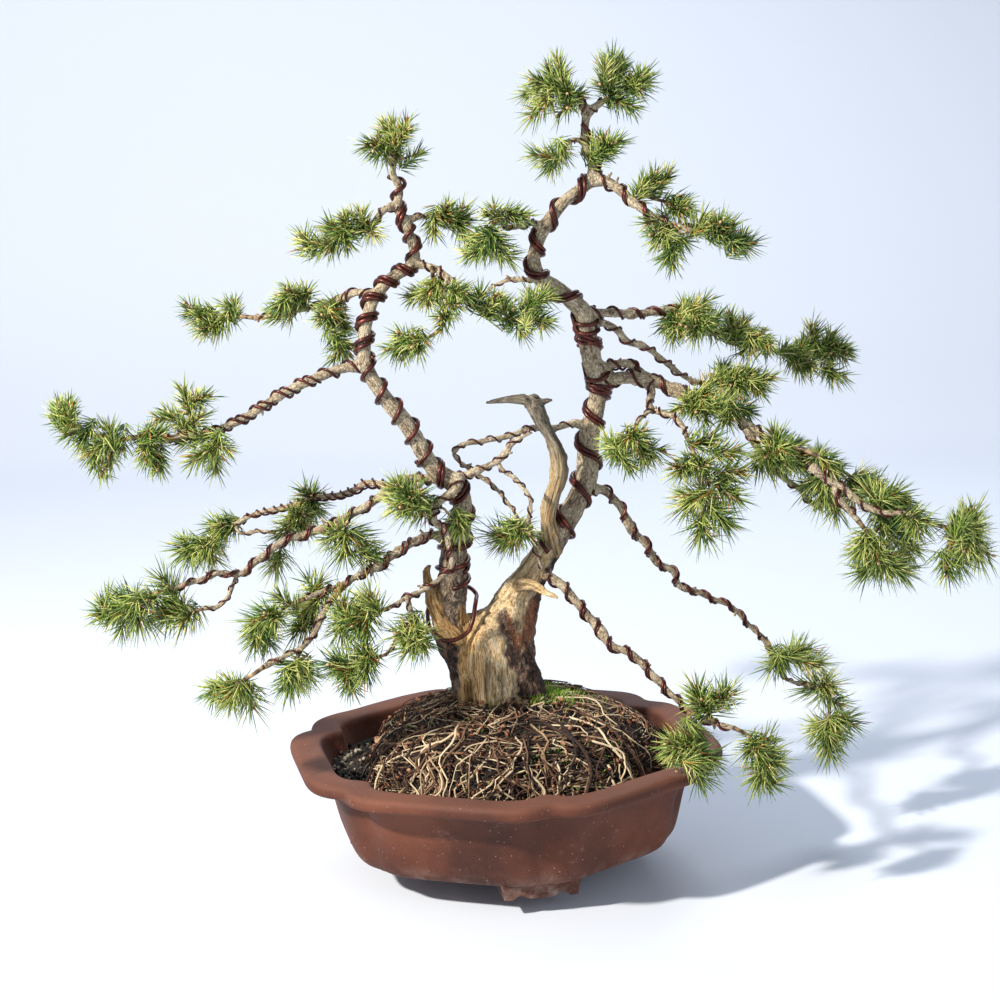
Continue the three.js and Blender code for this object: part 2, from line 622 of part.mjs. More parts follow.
// The plan of the pot at a wall inset from the rim's edge: a hexagon with drawn-in corners
function potPoint(angle, inset, z) {
  const step = outlineAngle(angle);
  const sector = Math.PI / 3;
  const turn = THREE.MathUtils.euclideanModulo(step - THREE.MathUtils.degToRad(POT_TURN), sector);
  const fromCorner = (Math.min(turn, sector - turn) * POT_APOTHEM) / Math.cos(sector / 2);
  const notch = NOTCH_DEPTH * Math.exp(-((fromCorner / NOTCH_WIDTH) ** 2));
  const reach = (POT_APOTHEM - inset) / Math.cos(turn - sector / 2) - notch;
  return [
    POT_CENTRE[0] + POT_WIDER * reach * Math.cos(step),
    POT_CENTRE[1] + POT_DEEPER * reach * Math.sin(step),
    z,
  ];
}

// A solid whose sides follow [inset, z] pairs from the bottom to the top
function potSolid(profile) {
  return moulded(OUTLINE_SIDES, profile.length - 1, (row, angle, out) => {
    const [inset, z] = profile[Math.round(row * (profile.length - 1))];
    const [x, y] = potPoint(angle, inset, z);
    return out ? [x, y, z] : [...POT_CENTRE, z];
  });
}

const OUTER_PROFILE = [
  [86, BASE_HEIGHT], [56, 18], [48, 54], [41, 86],
  [LIP_PROUD, RIM_TOP - LIP_DROP - 3], [1, RIM_TOP - LIP_DROP + 1], [1, RIM_TOP - 4], [6, RIM_TOP],
];
const CAVITY_PROFILE = [
  [104, FLOOR_TOP], [70, 50], [56, 90], [RIM_WIDTH, RIM_TOP - 4],
  [RIM_WIDTH - 4, RIM_TOP + 2],
];

// The foot under one corner: a bracket with a cloud-shaped front, wider at the ground
function potFoot(degrees) {
  const foot = new THREE.Shape();
  foot.moveTo(-43, 0);
  foot.lineTo(-34, 0);
  foot.quadraticCurveTo(-27, 7, -19, 3);
  foot.quadraticCurveTo(-15, 0, -10, 0);
  foot.lineTo(10, 0);
  foot.quadraticCurveTo(15, 0, 19, 3);
  foot.quadraticCurveTo(27, 7, 34, 0);
  foot.lineTo(43, 0);
  foot.quadraticCurveTo(43, 10, 57, FOOT_TOP);
  foot.lineTo(-57, FOOT_TOP);
  foot.quadraticCurveTo(-43, 10, -43, 0);
  const geometry = new THREE.ExtrudeGeometry(foot, {
    depth: FOOT_DEPTH, bevelEnabled: false, curveSegments: 2,
  });
  geometry.rotateX(Math.PI / 2);
  const angle = THREE.MathUtils.degToRad(degrees);
  geometry.rotateZ(angle + Math.PI / 2);
  geometry.translate(
    POT_CENTRE[0] + POT_WIDER * FOOT_REACH * Math.cos(angle),
    POT_CENTRE[1] + POT_DEEPER * FOOT_REACH * Math.sin(angle),
    0,
  );
  return solidOf(geometry);
}

function rod(radius, bottom, top, x, y, sides = 12) {
  const geometry = new THREE.CylinderGeometry(radius, radius, top - bottom, sides);
  geometry.rotateX(Math.PI / 2);
  geometry.translate(x, y, (bottom + top) / 2);
  return solidOf(geometry);
}

const HOLES = [-HOLE_OFFSET, HOLE_OFFSET].map((side) => [POT_CENTRE[0] + side, POT_CENTRE[1]]);

function makePot() {
  const feet = [0, 120, 240].map((turn) => potFoot(POT_TURN + turn));
  let pot = joined([potSolid(OUTER_PROFILE), ...feet]).subtract(potSolid(CAVITY_PROFILE));
  for (const [x, y] of HOLES) pot = pot.subtract(rod(HOLE_RADIUS, -5, FLOOR_TOP + 10, x, y));
  return pot;
}

// A pad of plastic mesh on the floor over a drain hole
function padBlock([x, y], grow = 0) {
  const side = PAD_SIDE + 2 * grow;
  const geometry = new THREE.BoxGeometry(side, side, PAD_THICK + 2 * grow);
  geometry.translate(x, y, FLOOR_TOP + GAP + PAD_THICK / 2);
  return solidOf(geometry);
}

function makeDrainMesh([x, y]) {
  let pad = padBlock([x, y]);
  for (const i of [-1, 1]) {
    for (const j of [-1, 1]) {
      pad = pad.subtract(rod(9, FLOOR_TOP - 1, FLOOR_TOP + 10, x + i * 11, y + j * 11, 4));
    }
  }
  return pad;
}

// Soil and root ball

// The old root ball: a steep mound, furrowed where the roots run down it
function makeRootBall(grow = 0) {
  const rows = [
    [0.7, BALL_FOOT], [1, 92], [0.98, 124], [0.88, 152], [0.66, 175], [0.3, BALL_TOP - 6],
  ];
  return moulded(22, rows.length - 1, (row, angle, out) => {
    const i = Math.round(row * (rows.length - 1));
    const [share, z] = rows[i];
    const furrow = 1 + 0.02 * Math.sin(5 * angle + 1) + 0.022 * Math.sin(11 * angle + i * 0.4);
    const reach = share * furrow;
    if (!out) return [...BALL_CENTRE, i === 0 ? z - grow : BALL_TOP + grow];
    return [
      BALL_CENTRE[0] + (BALL_RADII[0] * reach + grow) * Math.cos(angle),
      BALL_CENTRE[1] + (BALL_RADII[1] * reach + grow) * Math.sin(angle),
      z + (i > 2 ? 3 * Math.sin(3 * angle + i) : 0) + Math.sign(i - 1) * grow,
    ];
  });
}

// Fresh soil between the root ball and the pot, over the drain meshes
function makeSoil() {
  const wall = CAVITY_PROFILE.slice(0, 3).map(([inset, z]) => [inset + 2 * GAP, z + GAP]);
  const fill = potSolid([...wall, [SOIL_INSET, SOIL_TOP]]).subtract(makeRootBall(GAP));
  return largestBody(HOLES.reduce((soil, hole) => soil.subtract(padBlock(hole, GAP)), fill));
}

// The tree

const LIMBS = Object.fromEntries(Object.entries(WOOD).map(([name, limb]) => [name, limbOf(limb)]));

// The root flare: lobes that widen downwards into the soil
const FLARE = limbOf({
  route: [[-30, 150], [-31, 178], [-31, 200], [-37, 228], [-42, 256], [-42, 282]],
  depths: [16, 16, 16, 16, 16, 16], radii: [63, 57, 51, 48, 46, 40], sides: 14,
});
const flareShape = (t, angle) =>
  1 + (0.13 - 0.1 * t) * Math.cos(5 * angle + 0.6) - 0.12 * Math.cos(2 * angle);

function makeWood(grow = 0) {
  return joined([
    tube(FLARE, grow, flareShape),
    ...Object.values(LIMBS).map((limb) => tube(limb, grow)),
  ]);
}

// Wires

// All capsules of the tree's limbs, except the one named
function capsulesOf(except = '') {
  return Object.entries(LIMBS).filter(([name]) => name !== except).flatMap(([, limb]) => chain(limb));
}

function chain({ rings }) {
  return rings.slice(1).map((ring, i) => ({
    a: rings[i].centre, b: ring.centre, radius: Math.max(rings[i].radius, ring.radius),
  }));
}

// Where side branches come through the cylinder that a wire round this limb runs on: the place
// along the limb, 0 to 1, and the direction as an angle round it
function branchesOut(name, reach) {
  const { curve, radius } = LIMBS[name];
  const axis = curve.getPoints(WIRE_ROWS);
  const { normals, binormals } = frameRings(curve, WIRE_ROWS);
  const out = [];
  for (const [other, limb] of Object.entries(LIMBS)) {
    if (other === name) continue;
    for (const point of limb.curve.getSpacedPoints(60)) {
      const gaps = axis.map((p) => p.distanceTo(point));
      const row = gaps.indexOf(Math.min(...gaps));
      if (gaps[row] > radius(row / WIRE_ROWS) + reach) {
        const away = point.clone().sub(axis[row]);
        if (gaps[row] < radius(row / WIRE_ROWS) + 3 * reach) {
          const angle = Math.atan2(away.dot(binormals[row]), away.dot(normals[row]));
          out.push({ t: row / WIRE_ROWS, angle });
        }
        break;
      }
    }
  }
  return out.sort((a, b) => a.t - b.t);
}

// A wire wound round a limb between two places along it. Its turns quicken or slow a little so that
// it passes behind each side branch.
function wound(name, start, end) {
  const { curve, radius } = LIMBS[name];
  const turn = 2 * Math.PI;
  const angleAhead = (t) => (turn * t * curve.getLength()) / WIRE_PITCH;
  const knots = [{ t: start, angle: 0 }];
  for (const { t, angle } of branchesOut(name, TRUNK_WIRE)) {
    const last = knots.at(-1);
    const wanted = last.angle + angleAhead(t - last.t);
    if (t < start + 0.01 || t > end - 0.01 || wanted - last.angle < 1) continue;
    const behind = angle + Math.PI;
    knots.push({ t, angle: behind + turn * Math.round((wanted - behind) / turn) });
  }
  const last = knots.at(-1);
  knots.push({ t: end, angle: last.angle + angleAhead(end - last.t) });

  const frames = frameRings(curve, WIRE_ROWS);
  const stretch = 1 / Math.cos(Math.PI / WIRE_STEPS);
  const steps = Math.round((knots.at(-1).angle / turn) * WIRE_STEPS);
  const points = [];
  for (let i = 0; i <= steps; i += 1) {
    const angle = (knots.at(-1).angle * i) / steps;
    const next = Math.max(1, knots.findIndex((knot) => knot.angle >= angle - 1e-9));
    const [a, b] = [knots[next - 1], knots[next]];
    const t = a.t + ((b.t - a.t) * (angle - a.angle)) / (b.angle - a.angle);
    const row = Math.round(t * WIRE_ROWS);
    const widest = Math.max(radius(t - 0.02), radius(t), radius(t + 0.02));
    const reach = (widest + 2 * GAP + TRUNK_WIRE) * stretch;
    points.push(curve.getPoint(t)
      .addScaledVector(frames.binormals[row], reach * Math.sin(angle))
      .addScaledVector(frames.normals[row], reach * Math.cos(angle)));
  }
  return pushedClear(points, capsulesOf(name), TRUNK_WIRE + 6 * GAP);
}

// The loop that anchors the left wire: a turn round the trunk's foot and the dead branch beside it,
// low in front and high behind
function anchorLoop() {
  const points = Array.from({ length: LOOP_STEPS + 1 }, (_, i) => {
    const angle = THREE.MathUtils.degToRad(140 - (380 * i) / LOOP_STEPS);
    return new THREE.Vector3(
      LOOP_CENTRE[0] + LOOP_RADIUS * Math.cos(angle),
      LOOP_CENTRE[1] + LOOP_RADIUS * Math.sin(angle),
      LOOP_CENTRE[2] + LOOP_TILT * Math.sin(angle + 0.3) + (2 * WIRE_RISE * i) / LOOP_STEPS - WIRE_RISE,
    );
  });
  return pushedClear(points, [...capsulesOf(), ...chain(FLARE)], TRUNK_WIRE + 6 * GAP);
}

// Moves the points of a wire away from the other limbs until they are clear of them
function pushedClear(points, capsules, clearance) {
  for (let round = 0; round < 30; round += 1) {
    for (const point of points) {
      for (const { a, b, radius } of capsules) {
        const nearest = new THREE.Line3(a, b).closestPointToPoint(point, true, new THREE.Vector3());
        const away = point.clone().sub(nearest);
        const short = radius + clearance - away.length();
        if (short > 0) point.addScaledVector(away.normalize(), short * 0.6);
      }
    }
  }
  return points;
}

function wireSolid(points) {
  const curve = new THREE.CatmullRomCurve3(points, false, 'centripetal');
  const steps = points.length - 1;
  const frames = frameRings(curve, steps);
  return moulded(WIRE_SIDES, steps, (row, angle, out) => {
    const i = Math.round(row * steps);
    const point = points[i].clone();
    point.addScaledVector(frames.binormals[i], out * TRUNK_WIRE * Math.sin(angle));
    point.addScaledVector(frames.normals[i], out * TRUNK_WIRE * Math.cos(angle));
    return point.toArray();
  });
}

// Sprays of needles

const placed = [];           // capsules of every needle, twig and wire made so far

function clearOf(a, b, radius, capsules) {
  return capsules.every((other) =>
    segmentGap(a, b, other.a, other.b) > radius + other.radius + GAP);
}

function straightTube(a, b, from, to, sides) {
  const curve = new THREE.LineCurve3(a, b);
  return tube({ curve, radius: (t) => from + (to - from) * t, steps: 1, sides });
}

// One three-sided needle, its root sunk in the twig
function needle(root, direction, length) {
  const geometry = new THREE.ConeGeometry(NEEDLE_RADIUS, length, 3, 1);
  geometry.translate(0, length / 2, 0);
  const up = new THREE.Vector3(0, 1, 0);
  geometry.applyQuaternion(new THREE.Quaternion().setFromUnitVectors(up, direction));
  geometry.translate(...root.toArray());
  return solidOf(geometry);
}

// Directions spread evenly round an axis, leaning forward along it
function needleDirection(axis, turn, lean) {
  const side = new THREE.Vector3(0.31, 0.53, 0.79).cross(axis).normalize().applyAxisAngle(axis, turn);
  return side.multiplyScalar(Math.sin(lean)).addScaledVector(axis, Math.cos(lean)).normalize();
}

// The stem and the twigs of a spray: its wood, and each twig's foot and heart
function makeTwigs(spray, obstacles) {
  const [leader, ...others] = spray.tufts;
  const limb = limbOf({
    route: [...spray.stem, leader],
    depths: [...spread(spray.stem, ...spray.depth), spray.depth[1] + leader[2]],
    ends: [spray.thick, TWIG_RADIUS],
    sides: 4,
  });
  const stem = limb.curve.getSpacedPoints(STEM_STEPS);
  const tipStart = Math.round(STEM_STEPS * 0.84);
  const twigs = [{ a: stem[tipStart], b: stem[STEM_STEPS], radius: TWIG_RADIUS }];
  for (const [x, z, behind] of others) {
    const goal = seen([x, z], (spray.depth[0] + spray.depth[1]) / 2 + behind);
    const feet = stem.slice(Math.round(STEM_STEPS / 4), tipStart + 1);
    const foot = feet.reduce((best, p) => (p.distanceTo(goal) < best.distanceTo(goal) ? p : best));
    const heart = foot.clone().lerp(goal, 0.9);
    if (clearOf(foot, heart, TWIG_RADIUS, obstacles)) {
      twigs.push({ a: foot, b: heart, radius: TWIG_RADIUS });
    }
  }
  const tubes = twigs.slice(1).map(({ a, b }) => straightTube(a, b, TWIG_RADIUS * 0.6, TWIG_RADIUS, 3));
  const wood = joined([tube(limb), ...tubes]);
  return { wood, twigs, stem };
}

function makeSpray(spray, treeWood, treeCapsules) {
  const obstacles = placed.slice();
  const { wood, twigs, stem } = makeTwigs(spray, obstacles);
  const own = [...twigs];
  const needles = [];
  for (const twig of twigs) {
    const axis = twig.b.clone().sub(twig.a).normalize();
    const count = twig === twigs[0] ? LEADER_NEEDLES : SIDE_NEEDLES;
    for (let k = 0; k < count; k += 1) {
      const root = twig.b.clone().addScaledVector(axis, -1.5 - NEEDLE_STAGGER * k);
      for (let attempt = 0; attempt < 12; attempt += 1) {
        const turn = (2 * Math.PI * (k + 0.6 * draw())) / count;
        const direction = needleDirection(axis, turn, 0.55 + 0.45 * draw());
        const length = NEEDLE_LENGTH * (0.85 + 0.3 * draw());
        const tip = root.clone().addScaledVector(direction, length);
        const near = root.clone().addScaledVector(direction, NEEDLE_STAGGER);
        const rest = [...treeCapsules, ...own.filter((item) => item !== twig)];
        if (!inPot(tip) && tip.z > 4 && clearOf(root, tip, NEEDLE_RADIUS, obstacles)
          && clearOf(near, tip, NEEDLE_RADIUS, rest)) {
          needles.push(needle(root, direction, length));
          own.push({ a: near, b: tip, radius: NEEDLE_RADIUS });
          break;
        }
      }
    }
  }
  placed.push(...own, ...stem.slice(1).map((b, i) => ({ a: stem[i], b, radius: spray.thick })));
  return joined([largestBody(wood.subtract(treeWood)), ...needles]);
}

// The assembly

const group = new THREE.Group();

function add(name, solid, finish) {
  const mesh = new THREE.Mesh(geometryOf(largestBody(solid.simplify(SLIVER))), finish);
  mesh.name = name;
  group.add(mesh);
}

add('pot', makePot(), STONEWARE);
HOLES.forEach((hole, i) => add(`drain_mesh_${i ? 'right' : 'left'}`, makeDrainMesh(hole), MESH_PLASTIC));
add('soil', makeSoil(), SOIL);
const clearance = makeWood(GAP);
add('root_ball', makeRootBall().subtract(clearance), ROOT_MAT);
add('tree', makeWood(), BARK);

const WIRES = {
  left_trunk_wire: wound('left_trunk', 0.17, 0.93),
  right_trunk_wire: wound('right_trunk', 0.2, 0.9),
  anchor_loop_wire: anchorLoop(),
};
for (const [name, points] of Object.entries(WIRES)) {
  add(name, wireSolid(points), WIRE);
  placed.push(...points.slice(1).map((b, i) => ({ a: points[i], b, radius: TRUNK_WIRE })));
}

const treeCapsules = capsulesOf();
for (const [name, spray] of Object.entries(SPRAYS)) {
  add(name, makeSpray(spray, clearance, treeCapsules), NEEDLE_GREEN);
}

export default group;
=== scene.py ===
# %% [markdown]
# A twin-trunk Scots pine bonsai, in a lobed stoneware pot.
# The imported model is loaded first. It is a fixed frame: every surface made below goes where that
# frame says, in metres, with the ground at z = 0 and the front of the tree facing -Y.

# %% Load the frame
import math

import bpy
import numpy as np
from mathutils import Matrix, Vector


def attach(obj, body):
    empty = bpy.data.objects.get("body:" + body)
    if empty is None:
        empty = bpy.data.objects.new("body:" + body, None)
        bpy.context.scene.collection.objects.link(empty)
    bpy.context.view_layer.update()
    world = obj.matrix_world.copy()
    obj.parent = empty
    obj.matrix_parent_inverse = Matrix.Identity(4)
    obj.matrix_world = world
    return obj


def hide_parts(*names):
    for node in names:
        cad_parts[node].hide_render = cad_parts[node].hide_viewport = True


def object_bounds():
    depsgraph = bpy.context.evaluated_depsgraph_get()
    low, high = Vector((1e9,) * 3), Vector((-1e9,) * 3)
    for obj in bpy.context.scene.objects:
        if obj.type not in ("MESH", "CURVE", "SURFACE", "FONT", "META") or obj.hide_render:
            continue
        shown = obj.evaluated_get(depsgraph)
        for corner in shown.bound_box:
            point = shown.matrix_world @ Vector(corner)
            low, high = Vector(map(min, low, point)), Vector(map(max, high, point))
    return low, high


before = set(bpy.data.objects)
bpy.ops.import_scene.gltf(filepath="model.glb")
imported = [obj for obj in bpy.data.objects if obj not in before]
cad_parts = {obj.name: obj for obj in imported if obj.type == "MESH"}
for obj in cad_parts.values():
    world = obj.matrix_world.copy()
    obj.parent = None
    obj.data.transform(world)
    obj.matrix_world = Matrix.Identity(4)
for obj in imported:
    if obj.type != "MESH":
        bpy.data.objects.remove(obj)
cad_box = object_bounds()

MM = 0.001                   # metres
TURN = 2 * np.pi
print("frame:", len(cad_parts), "nodes, box", [round(v, 3) for v in (*cad_box[0], *cad_box[1])])

# %% [markdown]
# The camera comes before the model, so that every later choice can be judged through it. It stands
# 2.5 m in front of the tree a little under its top, looks down by about twelve degrees, and is
# rolled by a degree and a half. A long lens of 75 mm keeps the pot from looking too wide.

# %% Camera
EYE = (-25, -2482, 956)      # mm
LOOK_DOWN = 11.66            # degrees
ROLL = -1.5
LENS = 74.9                  # mm, on a sensor 36 mm wide

camera = bpy.data.objects.new("camera", bpy.data.cameras.new("camera"))
bpy.context.scene.collection.objects.link(camera)
camera.data.lens = LENS
camera.matrix_world = (Matrix.Translation(Vector(EYE) * MM)
                       @ Matrix.Rotation(math.radians(90 - LOOK_DOWN), 4, "X")
                       @ Matrix.Rotation(math.radians(ROLL), 4, "Z"))
bpy.context.scene.camera = camera
print("camera at", [round(v, 3) for v in camera.matrix_world.translation])

# %% [markdown]
# Branches are drawn as they are seen from the front. Each point of a route is an x and a z in
# millimetres on the plane y = 0, and then slides along its line of sight to its real depth. So the
# picture from the front never changes when a branch is bent towards the viewer or away.
# Between the points runs a centripetal Catmull-Rom curve, which never overshoots or loops.

# %% Routes and curves
CURVE_STEPS = 24             # for each point of a route, when its length is measured


def seen(points, depths):
    """The points of the front view, moved along the line from the eye through each to y = depth."""
    x, z = np.asarray(points, float).T
    depths = np.interp(np.linspace(0, 1, len(x)), np.linspace(0, 1, len(depths)), depths)
    share = (depths - EYE[1]) / -EYE[1]
    return np.stack([EYE[0] + (x - EYE[0]) * share, depths, EYE[2] + (z - EYE[2]) * share], -1)


def curve(points, t):
    """Centripetal Catmull-Rom: a cubic between each two points, whose slopes at its ends come from
    the neighbours, weighted by the square roots of the distances. t runs from 0 to 1 by points."""
    padded = np.concatenate([[2 * points[0] - points[1]], points, [2 * points[-1] - points[-2]]])
    at = np.clip(t, 0, 1) * (len(points) - 1)
    i = np.minimum(at.astype(int), len(points) - 2)
    w = (at - i)[:, None]
    p0, p1, p2, p3 = (padded[i + k] for k in range(4))
    gaps = ((p0, p1), (p1, p2), (p2, p3))
    d0, d1, d2 = (np.sqrt(np.linalg.norm(b - a, axis=1))[:, None] for a, b in gaps)
    start = ((p1 - p0) / d0 - (p2 - p0) / (d0 + d1)) * d1 + (p2 - p1)
    end = (p2 - p1) + ((p3 - p2) / d2 - (p3 - p1) / (d1 + d2)) * d1
    square = 3 * (p2 - p1) - 2 * start - end
    cube = 2 * (p1 - p2) + start + end
    return p1 + start * w + square * w ** 2 + cube * w ** 3


def unit(vectors):
    """The same directions with a length of one."""
    return vectors / np.maximum(np.linalg.norm(vectors, axis=-1, keepdims=True), 1e-9)


def resampled(points, step):
    """Points an even step apart along the curve, with t and the distance from the start at each."""
    fine = np.linspace(0, 1, CURVE_STEPS * len(points))
    line = curve(points, fine)
    length = np.concatenate([[0], np.cumsum(np.linalg.norm(np.diff(line, axis=0), axis=1))])
    distance = np.linspace(0, length[-1], max(3, int(round(length[-1] / step)) + 1))
    t = np.interp(distance, length, fine)
    return curve(points, t), t, distance


def framed(path, reference=(0, -1, 0)):
    """Tangents, and two directions across the path: the reference straightened, and a third."""
    tangent = unit(np.gradient(path, axis=-2))
    reference = np.broadcast_to(np.asarray(reference, float), path.shape)
    side = unit(reference - np.sum(reference * tangent, -1, keepdims=True) * tangent)
    return tangent, side, np.cross(tangent, side)

# %% [markdown]
# These helpers put numpy arrays into meshes. An object is made from points and faces, with any
# numbers that a material will read stored as attributes. Nearly every surface is a wall of rings
# with as many points each, closed at both ends by a fan. A tube carries such rings along a path,
# or along many paths of the same length at once.

# %% Meshes from arrays
def smoothed(mesh):
    """The mesh, shaded smooth."""
    mesh.polygons.foreach_set("use_smooth", np.full(len(mesh.polygons), True))
    return mesh


def add_piece(name, points, faces, material, replaces=(), **layers):
    """points in millimetres; faces a list of arrays, one row of point numbers for each face."""
    mesh = bpy.data.meshes.new(name)
    corners = np.concatenate([f.ravel() for f in faces]).astype(np.int32)
    sizes = np.concatenate([np.full(len(f), f.shape[1]) for f in faces])
    mesh.vertices.add(len(points))
    mesh.vertices.foreach_set("co", (np.asarray(points) * MM).astype(np.float32).ravel())
    mesh.loops.add(len(corners))
    mesh.loops.foreach_set("vertex_index", corners)
    mesh.polygons.add(len(sizes))
    mesh.polygons.foreach_set("loop_start", np.concatenate([[0], np.cumsum(sizes)[:-1]]).astype(np.int32))
    mesh.update(calc_edges=True)
    place(name, smoothed(mesh), material, replaces, **layers)


def place(name, mesh, material, replaces=(), **layers):
    """The mesh as an object of the tree, with its material and its attributes."""
    for layer, values in layers.items():
        values = np.asarray(values, np.float32)
        kind = "FLOAT_VECTOR" if values.ndim == 2 else "FLOAT"
        field = "vector" if values.ndim == 2 else "value"
        mesh.attributes.new(layer, kind, "POINT").data.foreach_set(field, values.ravel())
    mesh.materials.append(material)
    piece = bpy.data.objects.new(name, mesh)
    bpy.context.scene.collection.objects.link(piece)
    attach(piece, "root")
    if replaces:
        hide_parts(*replaces)


def as_object(points, faces):
    """A helper object, which a modifier works on and which is then removed."""
    mesh = bpy.data.meshes.new("solid")
    mesh.from_pydata((points * MM).tolist(), [], [f for group in faces for f in group.tolist()])
    made = bpy.data.objects.new("solid", mesh)
    bpy.context.scene.collection.objects.link(made)
    return made


def evaluated(helper):
    """A new mesh of the object as its modifiers leave it."""
    return bpy.data.meshes.new_from_object(helper.evaluated_get(bpy.context.evaluated_depsgraph_get()))


def wall_faces(rings, sides):
    """Quads between the rings, and fans from the first and last ring to the two points after them."""
    j = np.arange(sides)
    k = (j + 1) % sides
    row = sides * np.arange(rings - 1)[:, None]
    quads = np.stack([row + j, row + k, row + sides + k, row + sides + j], -1).reshape(-1, 4)
    first, last = rings * sides + 0 * j, sides * (rings - 1)
    fans = np.concatenate([np.stack([first, k, j], -1), np.stack([first + 1, last + j, last + k], -1)])
    return quads, fans


def ringed_solid(rings, low, high):
    """Rings of points from the bottom up, closed by fans to the points low and high."""
    return np.concatenate([rings.reshape(-1, 3), [low, high]]), list(wall_faces(*rings.shape[:2]))


def tubes(paths, radii, sides, reference=(0, -1, 0)):
    """Rings of points round each path: centre + radius * (cos a * side + sin a * third), joined by
    quads and closed by a fan at each end. paths: (tubes, rings, 3); radii: the same, without the 3,
    or with one for each side. Gives the points and faces, and each point's tube, ring and angle."""
    count, rings, _ = paths.shape
    _, side, third = framed(paths, reference)
    angle = TURN * np.arange(sides) / sides
    radii = np.asarray(radii)
    radii = np.broadcast_to(radii if radii.ndim == 3 else radii[..., None], (count, rings, sides))
    around = np.cos(angle)[:, None] * side[:, :, None] + np.sin(angle)[:, None] * third[:, :, None]
    wall = paths[:, :, None] + radii[..., None] * around
    points = np.concatenate([wall.reshape(count, -1, 3), paths[:, :1], paths[:, -1:]], 1)
    quads, fans = wall_faces(rings, sides)
    shift = (rings * sides + 2) * np.arange(count)[:, None, None]
    faces = [(quads + shift).reshape(-1, 4), (fans + shift).reshape(-1, 3)]
    tube = np.repeat(np.arange(count), rings * sides + 2)
    ring = np.tile(np.concatenate([np.repeat(np.arange(rings), sides), [0, rings - 1]]), count)
    turn = np.tile(np.concatenate([np.tile(angle, rings), [0, 0]]), count)
    return points.reshape(-1, 3), faces, tube, ring, turn


def gathered(parts):
    """Several (points, faces, layers) as one, with the point numbers of each shifted past the last."""
    points = np.concatenate([p for p, _, _ in parts])
    starts = np.concatenate([[0], np.cumsum([len(p) for p, _, _ in parts])])
    faces = [f + start for (_, group, _), start in zip(parts, starts) for f in group]
    layers = {key: np.concatenate([part[2][key] for part in parts]) for key in parts[0][2]}
    return points, faces, layers

# %% [markdown]
# Bark, roots and clay are never smooth. Their relief is worked out here, as numbers for every
# point, from two noises. The first hashes each whole-numbered cell of space to a number and blends
# the eight round a point. The second scatters one point in every cell and measures how near the
# closest two are: where both are equally near runs a crack.

# %% Noise
def hashed(cells, seed):
    """A number from 0 to 1 for each cell: its whole numbers, multiplied, mixed and folded. The large
    factors are odd and share no pattern, so that cells side by side get unlike numbers."""
    x, y, z = (cells[..., i].astype(np.int64).astype(np.uint32) for i in range(3))
    h = x * np.uint32(73856093) ^ y * np.uint32(19349663) ^ z * np.uint32(83492791)
    h = h ^ np.uint32(seed * 97531 + 17)
    for shift, factor in ((15, 2246822519), (13, 3266489917)):
        h = (h ^ (h >> np.uint32(shift))) * np.uint32(factor)
    return (h ^ (h >> np.uint32(16))) / 2.0 ** 32


def noise(points, seed=0, octaves=1):
    """Each octave blends the hashed corners of the cell round a point with s = f * f * (3 - 2 f),
    doubles the detail and halves the height of the one before. Runs from about -1 to 1."""
    total = np.zeros(points.shape[:-1])
    for octave in range(octaves):
        scaled = points * 2.0 ** octave
        cell = np.floor(scaled)
        s = (scaled - cell) ** 2 * (3 - 2 * (scaled - cell))
        for corner in np.ndindex(2, 2, 2):
            weight = np.prod(np.where(np.array(corner) == 1, s, 1 - s), axis=-1)
            total += weight * (2 * hashed(cell + corner, seed + octave) - 1) / 2.0 ** octave
    return total


def cracks(points, seed=0):
    """0 on the borders between cells, rising to about 1 inside them: the distance to the second
    nearest scattered point less the distance to the nearest."""
    cell = np.floor(points)
    nearest = np.full(points.shape[:-1], 9.0)
    second = nearest.copy()
    for offset in np.ndindex(3, 3, 3):
        there = cell + np.array(offset) - 1
        scattered = there + np.stack([hashed(there, seed + k) for k in range(3)], -1)
        gap = np.linalg.norm(points - scattered, axis=-1)
        second = np.minimum(second, np.maximum(nearest, gap))
        nearest = np.minimum(nearest, gap)
    return second - nearest


def ramp(low, high, values):
    """0 below low, 1 above high, and s * s * (3 - 2 s) between, in either direction."""
    s = np.clip((values - low) / (high - low), 0, 1)
    return s * s * (3 - 2 * s)


print("noise at a point:", noise(np.array([[0.3, 1.2, 2.5]]), octaves=3).round(3))

# %% [markdown]
# Materials are trees of nodes, and their maths reads better as Python. A Value wraps the output of
# a node, and adding or multiplying Values adds the Math nodes that do it. A Finish is a material
# whose method node makes any kind of node from its settings and its inputs; the others are short
# names for the kinds that come up again and again.

# %% Shader expressions
class Value:
    """An output socket that can stand in a sum."""

    def __init__(self, finish, socket):
        self.finish, self.socket = finish, socket

    def maths(self, operation, other):
        return self.finish.node("Math", {0: self, 1: other}, operation=operation)

    def __add__(self, other):
        return self.maths("ADD", other)

    def __sub__(self, other):
        return self.maths("SUBTRACT", other)

    def __mul__(self, other):
        return self.maths("MULTIPLY", other)

    __radd__ = __add__


def tint(code):
    """A colour written as on a paint card, such as #8a7458, as the linear light that shaders use."""
    parts = np.array([int(code[i:i + 2], 16) for i in (1, 3, 5)]) / 255
    linear = np.where(parts <= 0.04045, parts / 12.92, ((parts + 0.055) / 1.055) ** 2.4)
    return (*linear, 1.0)


